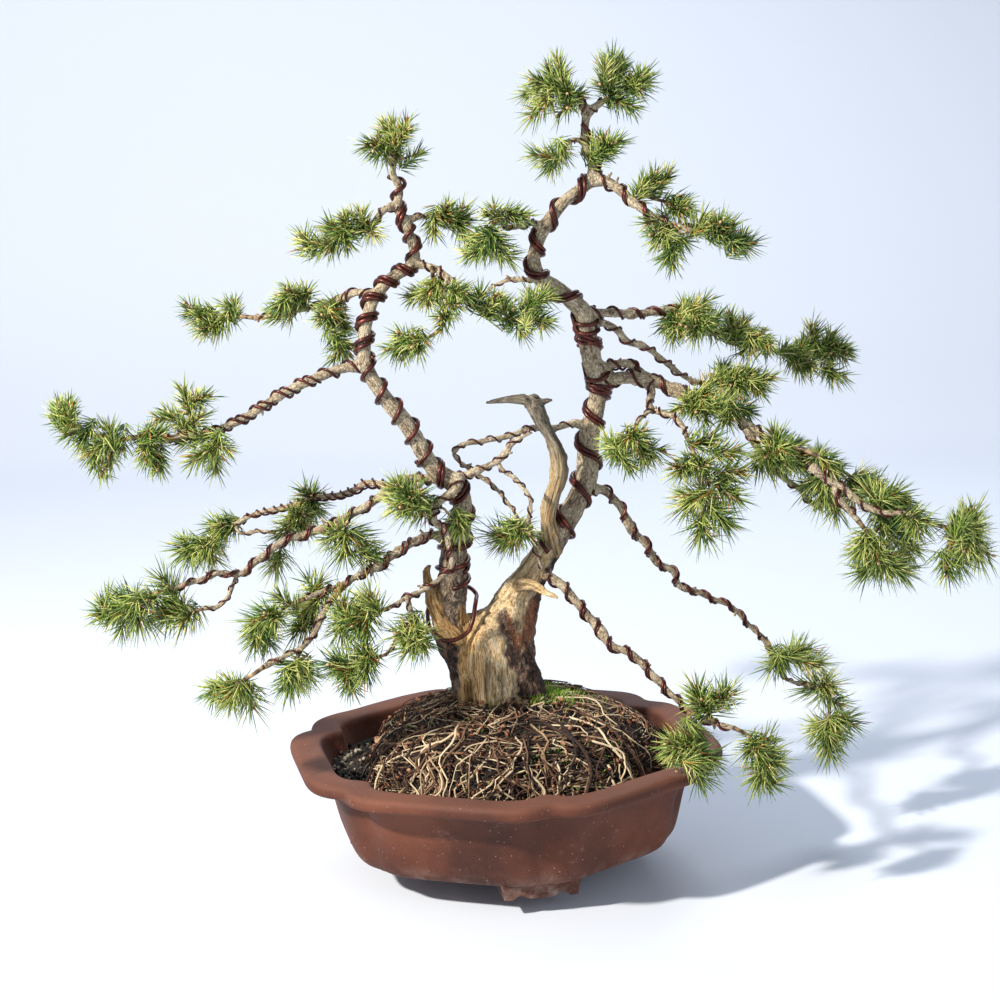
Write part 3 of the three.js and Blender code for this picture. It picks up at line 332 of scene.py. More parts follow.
class Finish:
    """A material: constants go straight to the shader's sockets, and node makes the rest."""

    def __init__(self, name, slot, **constants):
        self.material = bpy.data.materials.new(name)
        self.material.use_nodes = True
        self.tree = self.material.node_tree
        self.shader = self.tree.nodes["Principled BSDF"]
        for socket, value in constants.items():
            self.shader.inputs[socket.replace("_", " ")].default_value = value

    def node(self, kind, inputs=None, output=0, stops=None, **settings):
        made = self.tree.nodes.new("ShaderNode" + kind)
        for key, value in settings.items():
            setattr(made, key, value)
        if stops:
            for i, (position, colour) in enumerate(stops):
                element = made.color_ramp.elements[i] if i < 2 else made.color_ramp.elements.new(position)
                element.position, element.color = position, tint(colour)
        for key, value in (inputs or {}).items():
            self.feed(made.inputs[key], value)
        return Value(self, made.outputs[output])

    def feed(self, socket, value):
        if isinstance(value, Value):
            self.tree.links.new(value.socket, socket)
        else:
            socket.default_value = tint(value) if isinstance(value, str) else value

    def in_space(self):
        return self.node("TexCoord", output="Object")

    def attribute(self, name, output="Fac"):
        return self.node("Attribute", output=output, attribute_name=name)

    def mix(self, factor, first, second, how="MIX"):
        inputs = {0: factor, 6: first, 7: second}
        return self.node("Mix", inputs, output=2, data_type="RGBA", blend_type=how)

    def darken(self, colour, factor):
        grey = self.node("CombineColor", {0: factor, 1: factor, 2: factor})
        return self.mix(1.0, colour, grey, "MULTIPLY")

    def grain(self, where, scale, detail=4.0, roughness=0.6, stretch=(1, 1, 1)):
        where = self.node("Mapping", {"Vector": where, "Scale": stretch})
        inputs = {"Vector": where, "Scale": scale, "Detail": detail, "Roughness": roughness}
        return self.node("TexNoise", inputs)

    def cells(self, where, scale, feature="F1", stretch=(1, 1, 1), output="Distance"):
        where = self.node("Mapping", {"Vector": where, "Scale": stretch})
        return self.node("TexVoronoi", {"Vector": where, "Scale": scale}, output=output, feature=feature)

    def ramp(self, value, *stops):
        return self.node("ValToRGB", {0: value}, stops=stops)

    def step(self, value, low, high):
        """0 below low and 1 above high"""
        return self.node("MapRange", {"Value": value, "From Min": low, "From Max": high},
                         interpolation_type="SMOOTHSTEP")

    def bump(self, height, depth):
        """depth in metres is what a height of 1 stands for"""
        inputs = {"Height": height, "Distance": depth, "Strength": 1.0}
        self.feed(self.shader.inputs["Normal"], self.node("Bump", inputs, output="Normal"))

    def finish(self, colour, roughness=None):
        self.feed(self.shader.inputs["Base Color"], colour)
        if roughness is not None:
            self.feed(self.shader.inputs["Roughness"], roughness)
        return self.material


# %% [markdown]
# Every woody part of the tree is a limb: a route, its depths and its radii, in millimetres. The
# depths and radii are spread evenly over the route's points. The places were picked on the
# photo and turned to millimetres with this camera; depths and radii were judged. The two
# trunks come first, then the dead wood (a branch shaped like a bird's head, a split plume, a
# spike), then the branches.

# %% Limbs
LIMBS = {
    "left_trunk": dict(
        route=[(-58, 235), (-84, 270), (-91, 294), (-86, 339), (-85, 361), (-82, 388),
               (-75, 410), (-72, 428), (-72, 450), (-85, 470), (-104, 484), (-133, 537),
               (-162, 576), (-181, 612), (-183, 640), (-180, 662), (-170, 692), (-147, 717),
               (-128, 728), (-119, 740), (-125, 772), (-136, 799), (-135, 827), (-141, 838),
               (-140, 852)],
        depths=[15, 12, 10, 5, 2, -2, -6, -9, -12, -15, -18, -24, -29, -30, -28, -24, -12, -2, 3,
                8, 12, 16, 20, 20, 20],
        radii=[34, 26, 22, 18.5, 17.5, 16, 15, 14.5, 14, 14, 13, 12.5, 11.5, 10.5, 10, 10, 9.5,
               9, 8.5, 8, 7.5, 7, 6, 5.5, 4.5]),
    "right_trunk": dict(
        route=[(-26, 235), (-22, 272), (-8, 312), (12, 348), (28, 374), (54, 415), (69, 441),
               (82, 478), (84, 515), (95, 561), (98, 585), (90, 613), (84, 649), (80, 671),
               (65, 686), (45, 703), (29, 713), (23, 728), (25, 748), (36, 772), (62, 804),
               (84, 819), (93, 829), (93, 856), (86, 870), (86, 886), (89, 907)],
        depths=[20, 24, 28, 34, 38, 44, 48, 55, 58, 54, 50, 42, 32, 24, 18, 12, 6, 0, -4, -8, -8,
                -4, 0, 4, 5, 5, 5],
        radii=[40, 38, 30, 20, 17.5, 16, 16, 18, 15.5, 14.5, 15, 15, 15, 14, 12.5, 12, 11.5,
               10.5, 10, 10, 9, 9, 8.5, 7, 6.5, 6, 6]),
    "bird_head_jin": dict(
        route=[(38, 380), (33, 420), (40, 448), (48, 478), (46, 503), (37, 523), (28, 540),
               (21, 556), (14, 566)],
        depths=[36, 26, 18, 12, 8, 6, 4, 2, 0],
        radii=[13, 10, 10, 11, 10, 8.5, 9.5, 12, 9]),
    "beak": dict(
        route=[(24, 563), (0, 567), (-40, 564)],
        depths=[2, -4],
        radii=[10, 2.6]),
    "beak_spur": dict(
        route=[(15, 563), (42, 565)],
        depths=[1, 5],
        radii=[7, 2]),
    "left_jin": dict(
        route=[(-80, 268), (-98, 292), (-108, 312), (-114, 335), (-117, 358), (-111, 366)],
        depths=[2, -12],
        radii=[17, 2]),
    "spike_jin": dict(
        route=[(-4, 338), (14, 335), (28, 326), (43, 319)],
        depths=[10, -22],
        radii=[9, 2.5]),
    "saddle": dict(
        route=[(-74, 280), (-50, 288), (-20, 296)],
        depths=[14, 24],
        radii=[18, 20]),
    "left_shoulder": dict(
        route=[(-137, 802), (-150, 800), (-160, 790), (-167, 783), (-186, 774)],
        depths=[16, -10],
        radii=[5, 3.5]),
    "gap_upper": dict(
        route=[(-128, 785), (-115, 788), (-104, 790), (-93, 785)],
        depths=[14, 30],
        radii=[4.2, 3]),
    "gap_long": dict(
        route=[(-121, 734), (-107, 731), (-94, 727), (-84, 719), (-72, 708), (-60, 692),
               (-48, 680), (-33, 669)],
        depths=[6, -45],
        radii=[5, 3]),
    "gap_drop": dict(
        route=[(-81, 716), (-84, 700), (-84, 682)],
        depths=[-22, -40],
        radii=[3, 2.6]),
    "left_upper": dict(
        route=[(-168, 697), (-190, 701), (-205, 695), (-220, 689), (-253, 684), (-287, 676),
               (-312, 674)],
        depths=[-10, 85],
        radii=[5.5, 3.4]),
    "left_arm": dict(
        route=[(-181, 614), (-211, 610), (-230, 604), (-251, 596), (-271, 587), (-292, 577),
               (-312, 564), (-333, 552), (-354, 543), (-372, 537), (-397, 533), (-425, 531),
               (-452, 534)],
        depths=[-30, -95],
        radii=[7, 4]),
    "left_back": dict(
        route=[(-82, 467), (-110, 472), (-129, 474), (-144, 471), (-158, 466), (-187, 469),
               (-202, 461), (-221, 455), (-249, 453), (-286, 442), (-328, 433), (-346, 423)],
        depths=[-12, -10, -7, -3, 4, 20, 34, 48, 68, 92, 118, 130],
        radii=[6.5, 3]),
    "left_back_curl": dict(
        route=[(-330, 432), (-348, 421), (-343, 411), (-320, 413), (-300, 410)],
        depths=[120, 100],
        radii=[3, 2]),
    "left_long": dict(
        route=[(-136, 473), (-162, 458), (-182, 444), (-200, 434), (-235, 417), (-271, 405),
               (-290, 400), (-307, 388), (-328, 373), (-347, 359), (-369, 362), (-391, 355),
               (-432, 343)],
        depths=[-5, -85],
        radii=[6, 3.4]),
    "left_long_side": dict(
        route=[(-349, 360), (-356, 345), (-362, 332), (-376, 319), (-393, 317)],
        depths=[-62, -84],
        radii=[3, 2.4]),
    "left_hook": dict(
        route=[(-74, 474), (-78, 460), (-97, 445), (-104, 436), (-106, 420), (-93, 407),
               (-88, 384), (-87, 362), (-101, 347), (-123, 333), (-145, 323), (-166, 311)],
        depths=[-14, -34, -42, -46, -50, -54, -60, -66, -74, -82, -90, -98],
        radii=[6, 3]),
    "left_hook_drop": dict(
        route=[(-143, 325), (-138, 306), (-139, 291), (-153, 274), (-170, 253)],
        depths=[-90, -118],
        radii=[3.4, 2.6]),
    "left_low": dict(
        route=[(-82, 398), (-112, 402), (-127, 397), (-154, 381), (-176, 365), (-198, 356),
               (-221, 342), (-243, 336), (-268, 326)],
        depths=[-4, -105],
        radii=[6.5, 3.2]),
    "left_skirt": dict(
        route=[(-222, 343), (-234, 326), (-246, 308), (-256, 286), (-272, 266), (-295, 254),
               (-322, 241)],
        depths=[-82, -150],
        radii=[4.4, 3]),
    "cross_right": dict(
        route=[(84, 530), (67, 536), (44, 531), (16, 532), (-10, 523), (-45, 517), (-72, 512),
               (-79, 501), (-58, 481), (-32, 461), (-17, 442), (-4, 422)],
        depths=[57, 52, 48, 42, 34, 22, 12, 10, 16, 14, 6, -4],
        radii=[4.6, 2.2]),
    "cross_left": dict(
        route=[(-84, 471), (-64, 476), (-42, 485), (-27, 492), (-17, 502), (-9, 513), (4, 521),
               (16, 526)],
        depths=[-14, -2],
        radii=[5.5, 2]),
    "cross_spur": dict(
        route=[(-27, 490), (-19, 479), (-7, 471), (3, 459), (11, 447), (12, 433), (9, 416),
               (10, 413), (15, 386), (25, 355)],
        depths=[-7, -30, 4],
        radii=[3.2, 2.4]),
    "crown_left_limb": dict(
        route=[(89, 905), (81, 918), (70, 925)],
        depths=[5, -4],
        radii=[5, 3.6]),
    "crown_right_limb": dict(
        route=[(89, 905), (98, 911), (109, 918)],
        depths=[5, 14],
        radii=[5, 3.6]),
    "neck_left": dict(
        route=[(87, 868), (75, 874), (66, 870), (61, 861)],
        depths=[5, -16],
        radii=[3.4, 2.4]),
    "inner_upper": dict(
        route=[(33, 772), (22, 778), (8, 775), (-7, 774), (-18, 783)],
        depths=[-8, -44],
        radii=[4.4, 2.8]),
    "inner_lower": dict(
        route=[(27, 714), (14, 711), (0, 712), (-16, 709), (-32, 701)],
        depths=[6, 44],
        radii=[3.6, 2]),
    "right_shoulder": dict(
        route=[(90, 828), (109, 825), (124, 816), (135, 806), (146, 796), (171, 778), (190, 771),
               (212, 764)],
        depths=[0, -40],
        radii=[7.5, 4]),
    "right_upper": dict(
        route=[(80, 668), (112, 669), (140, 667), (163, 668), (190, 670), (222, 652), (254, 638),
               (283, 625), (322, 616)],
        depths=[24, 118],
        radii=[6.5, 3.2]),
    "right_middle": dict(
        route=[(84, 652), (103, 657), (120, 648), (134, 633), (152, 628), (180, 606), (203, 588),
               (224, 580)],
        depths=[30, 66],
        radii=[5.5, 3.2]),
    "right_arm": dict(
        route=[(97, 586), (132, 590), (168, 583), (198, 570), (236, 558), (262, 540), (285, 522),
               (308, 508), (348, 481), (368, 473), (380, 459), (385, 440), (397, 424), (412, 406)],
        depths=[48, -92],
        radii=[9, 3.6]),
    "right_arm_root": dict(
        route=[(94, 602), (132, 607), (152, 594), (172, 582)],
        depths=[46, 34],
        radii=[6, 5]),
    "right_arm_end": dict(
        route=[(354, 476), (372, 459), (393, 448), (410, 432), (428, 420), (447, 415),
               (466, 414), (486, 408)],
        depths=[-55, -112],
        radii=[5, 3.2]),
    "right_arm_under": dict(
        route=[(276, 526), (287, 502), (301, 484), (318, 464), (337, 450), (353, 432), (368, 421)],
        depths=[-15, -24],
        radii=[5, 3]),
    "right_fall": dict(
        route=[(152, 588), (162, 572), (158, 561), (162, 551), (174, 546), (188, 541),
               (197, 531), (203, 516)],
        depths=[34, -70],
        radii=[5, 3]),
    "right_fall_side": dict(
        route=[(163, 551), (151, 543), (142, 533)],
        depths=[-16, -56],
        radii=[3, 2.4]),
    "right_long": dict(
        route=[(74, 452), (101, 453), (112, 443), (123, 429), (135, 403), (153, 383), (164, 361),
               (185, 349), (193, 330), (214, 322), (235, 312), (257, 302), (280, 276), (300, 258)],
        depths=[54, 84],
        radii=[6.5, 3]),
    "right_long_drop": dict(
        route=[(292, 264), (303, 248), (306, 234), (315, 220), (327, 206), (350, 200), (368, 192)],
        depths=[82, 78],
        radii=[3.2, 2.4]),
    "right_low": dict(
        route=[(16, 350), (30, 348), (48, 335), (72, 305), (94, 277), (106, 258), (134, 244),
               (158, 218), (185, 188), (213, 163), (241, 151), (259, 146)],
        depths=[30, -165],
        radii=[7, 3.2]),
}
DEAD_WOOD = ["bird_head_jin", "beak", "beak_spur", "left_jin", "spike_jin"]
TRUNKS = ["left_trunk", "right_trunk"]
GROWN_TOGETHER = TRUNKS + ["saddle"] + DEAD_WOOD
BRANCHES = [name for name in LIMBS if name not in GROWN_TOGETHER]
FLARE = dict(                # where the trunks enter the soil
    route=[(-30, 150), (-31, 178), (-31, 200), (-37, 228), (-42, 256), (-42, 278), (-42, 292),
           (-43, 302)],
    depths=[16, 16],
    radii=[63, 57, 51, 48, 46, 42, 34, 20])
TRUNK_STEP = 3.0             # mm from ring to ring
BRANCH_STEP = 3.5
SLIM_FROM = (380, 450)       # the heights between which the trunks get slimmer
TRUNK_SLIM = 0.82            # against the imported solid, which stands for the wood and its wire


def limb_of(route, depths, radii, step, slim=1.0):
    """A limb as arrays: axis points a step apart, the radius and the distance along at each. The
    radius falls to the share slim of itself with height."""
    axis, t, along = resampled(seen(route, depths), step)
    radius = np.interp(t, np.linspace(0, 1, len(radii)), radii)
    radius = radius * (1 - (1 - slim) * ramp(*SLIM_FROM, axis[:, 2]))
    return dict(axis=axis, t=t, along=along, radius=radius)


limbs = {}
for name, limb in LIMBS.items():
    limbs[name] = limb_of(**limb, step=BRANCH_STEP if name in BRANCHES else TRUNK_STEP,
                          slim=TRUNK_SLIM if name in TRUNKS else 1.0)
limbs["flare"] = limb_of(**FLARE, step=TRUNK_STEP)
metres = sum(limb["along"][-1] for limb in limbs.values()) * MM
print("limbs:", len(limbs), " wood in all:", round(metres, 1), "m")

# %% [markdown]
# One material does for all the wood, living and dead, because on the real trunk they run into each
# other with no seam. The mesh tells it six things about each point: the attribute grain is the
# place in a limb that has been pulled straight, with z along it, dead is 1 on bare wood, and
# relief is how high the point stands above the cracks. On bark, age is 1 where it is old and
# plated; on the outer side of the right trunk it also reaches higher, and there the dark bark is
# partly painted shade on the side turned from the key lamp. rust is 1 on the bare orange patch.
# On bare wood, age is 1 where it has darkened, and silver runs from gold at 0 past pale at 0.7 to
# grey at 1.
# Reading grain and not the place in space makes fibres and flakes follow every bend.

# %% Wood
def wood_material():
    wood = Finish("wood", "bark", Roughness=0.85)
    where = wood.attribute("grain", "Vector")
    dead = wood.attribute("dead")
    relief = wood.attribute("relief")
    age = wood.attribute("age")
    patches = wood.grain(where, 0.07, 4.0, 0.65, (1, 1, 0.6))
    flakes = wood.cells(where, 0.22, stretch=(1, 1, 0.6), output="Color")
    flake = wood.node("SeparateColor", {0: flakes})
    fine = wood.grain(where, 0.32, 7.0, 0.75, (1, 1, 0.7))
    strand = wood.grain(where, 0.42, 7.0, 0.7, (1, 1, 0.05))
    fibre = strand * 0.85 + wood.grain(where, 1.3, 4.0, 0.65, (1, 1, 0.06)) * 0.75 - 0.3
    fissures = wood.cells(where, 0.3, "DISTANCE_TO_EDGE", (1, 1, 0.5))

    young = wood.ramp(patches * 0.3 + flake * 0.1 + fine * 0.65,
                      (0.38, "#43352a"), (0.46, "#8c7a63"), (0.53, "#b9a78b"), (0.66, "#ddd1b6"))
    old = wood.ramp(patches * 0.35 + flake * 0.25 + fine * 0.45,
                    (0.36, "#140c09"), (0.46, "#35221a"), (0.56, "#5c4031"), (0.7, "#95816e"))
    rusty = wood.ramp(patches * 0.4 + fine * 0.6, (0.38, "#4c2816"), (0.5, "#8f5a3b"), (0.62, "#b98562"))
    # age picks the dark old bark, which on the right trunk's outer side is also painted shade.
    bark = wood.mix(age, young, old)
    # Painted shade: bark is darkened where its relief is low, in the cracks between plates and flakes.
    bark = wood.darken(bark, wood.step(relief, -0.1, 0.6) * 0.75 + 0.25)
    bark = wood.mix(wood.attribute("rust"), bark, rusty)
    # Painted shade along the fissures between bark plates.
    bark = wood.darken(bark, wood.step(fissures, 0.0, 0.16) * 0.4 + 0.6)

    bare = wood.ramp(fibre * 0.85 + patches * 0.15,
                     (0.36, "#4a2f1a"), (0.44, "#a8763c"), (0.52, "#d3a565"), (0.64, "#ecd3a2"))
    pale = wood.ramp(fibre * 0.8 + fine * 0.2,
                     (0.35, "#573d29"), (0.43, "#bc955f"), (0.51, "#e2c596"), (0.62, "#f8e9cb"))
    grey = wood.ramp(fibre * 0.8 + fine * 0.2, (0.36, "#2e2822"), (0.47, "#7d7263"), (0.58, "#b3a895"))
    silver = wood.attribute("silver")
    bare = wood.mix(wood.step(silver, 0.0, 0.7), bare, pale)
    bare = wood.mix(wood.step(silver, 0.7, 1.0), bare, grey)
    # Painted shade: bare wood is darkened in its grooves, where relief is low.
    bare = wood.darken(bare, wood.step(relief, -0.3, 0.5) * 0.6 + 0.4)
    bare = wood.darken(bare, age * -0.35 + 1.0)

    wood.bump(wood.mix(dead, fine * 0.7 + wood.step(fissures, 0.0, 0.2) * 0.3, fibre), 0.0022)
    return wood.finish(wood.mix(dead, bark, bare), 0.78 + fine * 0.2)


WOOD = wood_material()

# %% [markdown]
# The trunks, the flare and the dead wood have grown together, so they are first made as plain tubes
# and then remeshed as one skin, with a stub of every branch so that each leaves in a smooth collar.
# A Boolean would leave sharp creases where two limbs meet; the remesh and a little smoothing
# round them as growth does.

# %% Trunk skin
VOXEL = 2.3                  # mm
SMOOTHING = 4                # rounds
STUB = 9                     # rings of each branch that take part
STUB_SWELL = (1.5, 0.8)      # how much wider a stub starts, and ends, than its branch
STUB_FROM = 3.5              # mm of radius; slimmer branches have no stub
LOBES = 5


def limb_tube(limb, sides, stub=False):
    """A limb as a closed tube, or only its first rings, swollen where it leaves the trunk."""
    axis, radius = limb["axis"], limb["radius"]
    if stub:
        axis, radius = axis[:STUB], radius[:STUB] * np.linspace(*STUB_SWELL, len(radius[:STUB]))
    points, faces, _, _, _ = tubes(axis[None], radius[None], sides)
    return points, faces, {}


def lobed_flare(limb, sides):
    """Buttresses: the radius swells in five lobes, deeper lower down, and twice more in all."""
    turn = TURN * np.arange(sides) / sides
    t = limb["t"][:, None]
    shape = 1 + (0.13 - 0.1 * t) * np.cos(LOBES * turn + 0.6) - 0.12 * np.cos(2 * turn)
    radii = limb["radius"][:, None] * shape
    points, faces, _, _, _ = tubes(limb["axis"][None], radii[None], sides)
    return points, faces, {}


def remeshed(points, faces):
    """The skin round overlapping solids: a voxel remesh, then a few rounds of smoothing."""
    rough = as_object(points, faces)
    remesh = rough.modifiers.new("skin", "REMESH")
    remesh.mode, remesh.voxel_size = "VOXEL", VOXEL * MM
    smooth = rough.modifiers.new("smooth", "SMOOTH")
    smooth.factor, smooth.iterations = 0.5, SMOOTHING
    result = evaluated(rough)
    bpy.data.objects.remove(rough)
    return result


def read(items, field):
    """Three numbers for each item of a mesh, as an array."""
    values = np.zeros(len(items) * 3, np.float32)
    items.foreach_get(field, values)
    return values.reshape(-1, 3).astype(float)


solids = [lobed_flare(limbs["flare"], 40)]
solids += [limb_tube(limbs[name], 24) for name in GROWN_TOGETHER]
stubby = [name for name in BRANCHES if limbs[name]["radius"][0] > STUB_FROM]
solids += [limb_tube(limbs[name], 12, stub=True) for name in stubby]
points, faces, _ = gathered(solids)
trunk_mesh = remeshed(points, faces)
print("trunk skin:", len(trunk_mesh.vertices), "points")

# %% [markdown]
# Now each point of that skin finds the limb it belongs to, by the smallest distance to an axis less
# the radius there, and its place in that limb pulled straight: two numbers across and one along.
# Low down, where the limbs run into each other, the place in space is used instead for all.
# Relief is worked out in that place, so ridges run with the wood. On bare wood it is long grooves,
# on the old base plates with cracks between, and higher up small flakes and swellings.
# A pair of heights or of x below is a soft border, with nothing at the first and all at the
# second: (350, 335) means all below 335 mm and nothing above 350.

# %% Trunk relief
LIMB_APART = 400             # mm between straightened limbs, so that no two share a pattern


def straightened(points, names):
    """For each point: the limb it lies on, its place in that limb pulled straight, and the radius."""
    axis = np.concatenate([limbs[n]["axis"] for n in names])
    radius = np.concatenate([limbs[n]["radius"] for n in names])
    along = np.concatenate([limbs[n]["along"] for n in names])
    owner = np.concatenate([np.full(len(limbs[n]["t"]), i) for i, n in enumerate(names)])
    frames = [framed(limbs[n]["axis"]) for n in names]
    tangent, side, third = (np.concatenate(part) for part in zip(*frames))
    nearest = np.concatenate([
        np.argmin(np.linalg.norm(block[:, None] - axis[None], axis=2) - radius, axis=1)
        for block in np.array_split(points, len(points) // 4000 + 1)])
    offset = points - axis[nearest]
    dot = lambda vectors: np.sum(offset * vectors[nearest], axis=1)
    place = np.stack([dot(side), dot(third), along[nearest] + dot(tangent)], -1)
    place[:, 2] += LIMB_APART * owner[nearest]
    return owner[nearest], place, radius[nearest]


COMMON_TOP = (326, 310)      # below this the trunks share one set of coordinates
BORDER_TOP = (-38, 306)      # where bare wood gives way to bark at the front: x, z
BORDER_SLOPE = 0.3           # mm to the right for each mm down
BORDER_BEND = 300            # above this height the border runs
BORDER_LEAN = 1.9            # this many mm to the right for each mm up
BARE_LEFT = -80              # x of the other border of the bare wood
BARE_TOP = (322, 302)
BARE_CROTCH = (-52, -44)     # to the right of here bare wood reaches further up,
CROTCH_TOP = (350, 335)      # to this height
RIDGE_FOOT = (268, 284)      # the bare ridge on the front left of the right trunk
RIDGE_TOP = (395, 365)
OLD_TOP = (345, 285)         # bark is old and plated below this,
OLD_AND_SHADED_RIGHT_TOP = (440, 340)   # or this, on the outer side of the right trunk, where the dark bark is also painted shade,
OLD_LEFT_TOP = (450, 350)    # or this, on the left trunk
RUST_INSET = 13              # mm of dark bark between the bare wood and the orange patch
RUST_RIGHT = (26, 10)        # x
RUST_FOOT = (250, 275)
RUST_TOP = (334, 318)
BLEACHED = (-88, -28)        # x: the bare wood of the base pales from left to right
SILVERED = (400, 540)        # the dead branches turn grey upwards

names = TRUNKS + ["flare"] + DEAD_WOOD
skin = read(trunk_mesh.vertices, "co") / MM
facing = read(trunk_mesh.vertex_normals, "vector")
owner, grain, radius = straightened(skin, names)
x, _, z = skin.T
wobble = 5 * noise(skin / 14, 5, 3)
left, right, left_jin, spike = (owner == names.index(name)
                                for name in ("left_trunk", "right_trunk", "left_jin", "spike_jin"))
jin = (owner >= names.index("bird_head_jin")).astype(float)
common = ramp(*COMMON_TOP, z + wobble) * (1 - jin)

border = BORDER_TOP[0] + BORDER_SLOPE * (BORDER_TOP[1] - z) + BORDER_LEAN * np.maximum(z - BORDER_BEND, 0)
front = ramp(0.1, -0.35, facing[:, 1])
base = front * ramp(3, -3, x - border + wobble) * ramp(-4, 4, x - BARE_LEFT + wobble)
base = base * np.maximum(ramp(*BARE_TOP, z + wobble), ramp(*BARE_CROTCH, x) * ramp(*CROTCH_TOP, z))
ridge = right * ramp(0.0, 0.5, -0.75 * facing[:, 0] - 0.65 * facing[:, 1] + wobble / 20)
ridge = ridge * ramp(*RIDGE_FOOT, z) * ramp(*RIDGE_TOP, z)
dead = np.clip(np.maximum(np.maximum(base, ridge), jin), 0, 1)

# Painted shade: on the right trunk the dark old bark also covers the side facing +x, away from the key lamp,
# up to a greater height.
age = np.maximum(ramp(*OLD_TOP, z), right * ramp(*OLD_AND_SHADED_RIGHT_TOP, z) * ramp(-0.1, 0.4, facing[:, 0]))
age = np.maximum(age, 0.7 * left * ramp(*OLD_LEFT_TOP, z)) * (1 - jin)
age = age * (1 - dead) + jin * ~spike
rust = ramp(-5, 5, x - border - RUST_INSET + wobble) * ramp(*RUST_RIGHT, x + wobble)
rust = rust * ramp(*RUST_FOOT, z) * ramp(*RUST_TOP, z) * ramp(0.2, -0.2, facing[:, 1]) * (1 - dead)
silver_of_jin = np.where(left_jin, 0.1, 0.4 + 0.55 * ramp(*SILVERED, z))
silver = np.where(jin > 0, silver_of_jin, np.maximum(0.65 * ramp(*BLEACHED, x + wobble), 0.6 * ridge))


def relief_at(where):
    """The height in mm and the 0 to 1 height above the cracks, from points pulled straight. Each
    pattern divides the place by the size of its cells in mm, across and along the limb."""
    groove = np.abs(noise(where / (7, 7, 110), 1, 2)) * 1.1
    groove = groove + np.abs(noise(where / (2.6, 2.6, 60), 2, 2)) * 0.8
    plates = np.clip(cracks(where / (10, 10, 22), 3) * 3, 0, 1)
    layers = np.floor(3.5 * noise(where / (7, 7, 13), 4, 2)) / 3.5
    flakes = np.clip(cracks(where / (5, 5, 9), 6) * 3.5, 0, 1)
    swelling = noise(where / (14, 14, 20), 8, 2)
    coarse = age * ramp(8, 20, radius)
    old_bark = 1.9 * plates + 1.1 * layers + 0.8 * swelling - 1.6
    young_bark = 0.45 * flakes + 0.4 * layers + 0.8 * swelling - 0.4
    size = np.clip(radius / 12, 0.35, 1.0)
    bare = (1.9 - 2.3 * groove) * np.clip(radius / 14, 0.35 + 0.5 * jin, 1.3) - 0.8
    bare = bare + 1.8 * jin * noise(where / (11, 11, 17), 9, 2) * ramp(3, 8, radius)
    living = coarse * old_bark + (1 - coarse) * young_bark * size
    living = living * (1 - 0.7 * rust) - 1.5 * rust
    above = np.where(dead > 0.5, 1 - groove, coarse * plates + (1 - coarse) * (0.4 + 0.6 * flakes))
    return dead * bare + (1 - dead) * living, above


own, shared = relief_at(grain), relief_at(skin)
height = common * shared[0] + (1 - common) * own[0]
relief = common * shared[1] + (1 - common) * own[1]
grain = np.where(common[:, None] > 0.5, skin, grain)
skin = skin + facing * height[:, None]
trunk_mesh.vertices.foreach_set("co", (skin * MM).astype(np.float32).ravel())
trunk_mesh.update()
place("trunks", smoothed(trunk_mesh), WOOD, ["tree"], grain=grain, dead=dead, relief=relief, age=age,
      silver=silver, rust=rust)
print("trunks:", len(trunk_mesh.polygons), "faces, relief from", height.min().round(1),
      "to", height.max().round(1))

# %% [markdown]
# Branches are too slim for the remesh. Each is a tube with a ring every few millimetres, and its
# radius is varied at every point of every ring: slow swellings, knots where old shoots were cut,
# and flaky bark. It starts inside the trunk, in the collar that its stub has made.

# %% Branches
BRANCH_SIDES = 10
SPUR_EVERY = 50              # mm of branch for each stub of an old shoot
SPUR_LENGTH = (2, 7)         # mm
SPUR_RADII = (2.4, 1.8, 1.3)
SLIMMER = 0.9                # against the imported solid, which stands for bark and wire


def branch_part(index, limb, sides=BRANCH_SIDES):
    """radius * (1 + swelling + knots) + flakes, for each side of each ring."""
    rings = len(limb["axis"])
    turn = TURN * np.arange(sides) / sides
    radius = np.repeat(SLIMMER * limb["radius"][:, None], sides, 1)
    where = np.stack([radius * np.cos(turn), radius * np.sin(turn),
                      np.repeat(limb["along"][:, None], sides, 1) + LIMB_APART * index], -1)
    flaky = cracks(where / (3.5, 3.5, 6), 11)
    knots = ramp(0.45, 0.8, noise(where / (60, 60, 16), 12))
    shaped = radius * (1 + 0.12 * noise(where / (9, 9, 12), 13, 2) + 0.35 * knots)
    shaped = shaped + 0.6 * np.clip(flaky * 3, 0, 1) - 0.4
    points, faces, _, _, _ = tubes(limb["axis"][None], shaped[None], sides)

    def with_ends(values):
        """In the order of the tube's points: all rings, then the middles of its two ends."""
        return np.concatenate([values.reshape(rings * sides, -1), values[[0, -1], 0].reshape(2, -1)])

    relief = np.clip(0.45 + flaky * 2, 0, 1)
    return points, faces, dict(grain=with_ends(where), relief=with_ends(relief).ravel())


def spur_part(limb, seed):
    """Stubs of old shoots: short cones at random places and angles, leaning forward."""
    draw = np.random.default_rng(seed)
    count = max(1, int(limb["along"][-1] / SPUR_EVERY))
    at = draw.integers(2, len(limb["axis"]) - 1, count)
    tangent, side, third = framed(limb["axis"])
    turn = draw.uniform(0, TURN, (count, 1))
    forward = draw.uniform(0.2, 1.1, (count, 1))
    way = unit(np.cos(turn) * side[at] + np.sin(turn) * third[at] + forward * tangent[at])
    length = draw.uniform(*SPUR_LENGTH, (count, 1)) + limb["radius"][at][:, None]
    bent = way + draw.normal(0, 0.3, way.shape)
    start = limb["axis"][at]
    knee = start + way * length * 0.7
    lines = np.stack([start, knee, knee + bent * length * 0.3], 1)
    points, faces, _, _, _ = tubes(lines, np.broadcast_to(SPUR_RADII, lines.shape[:2]), 5)
    return points, faces, dict(grain=points, relief=np.full(len(points), 0.5))


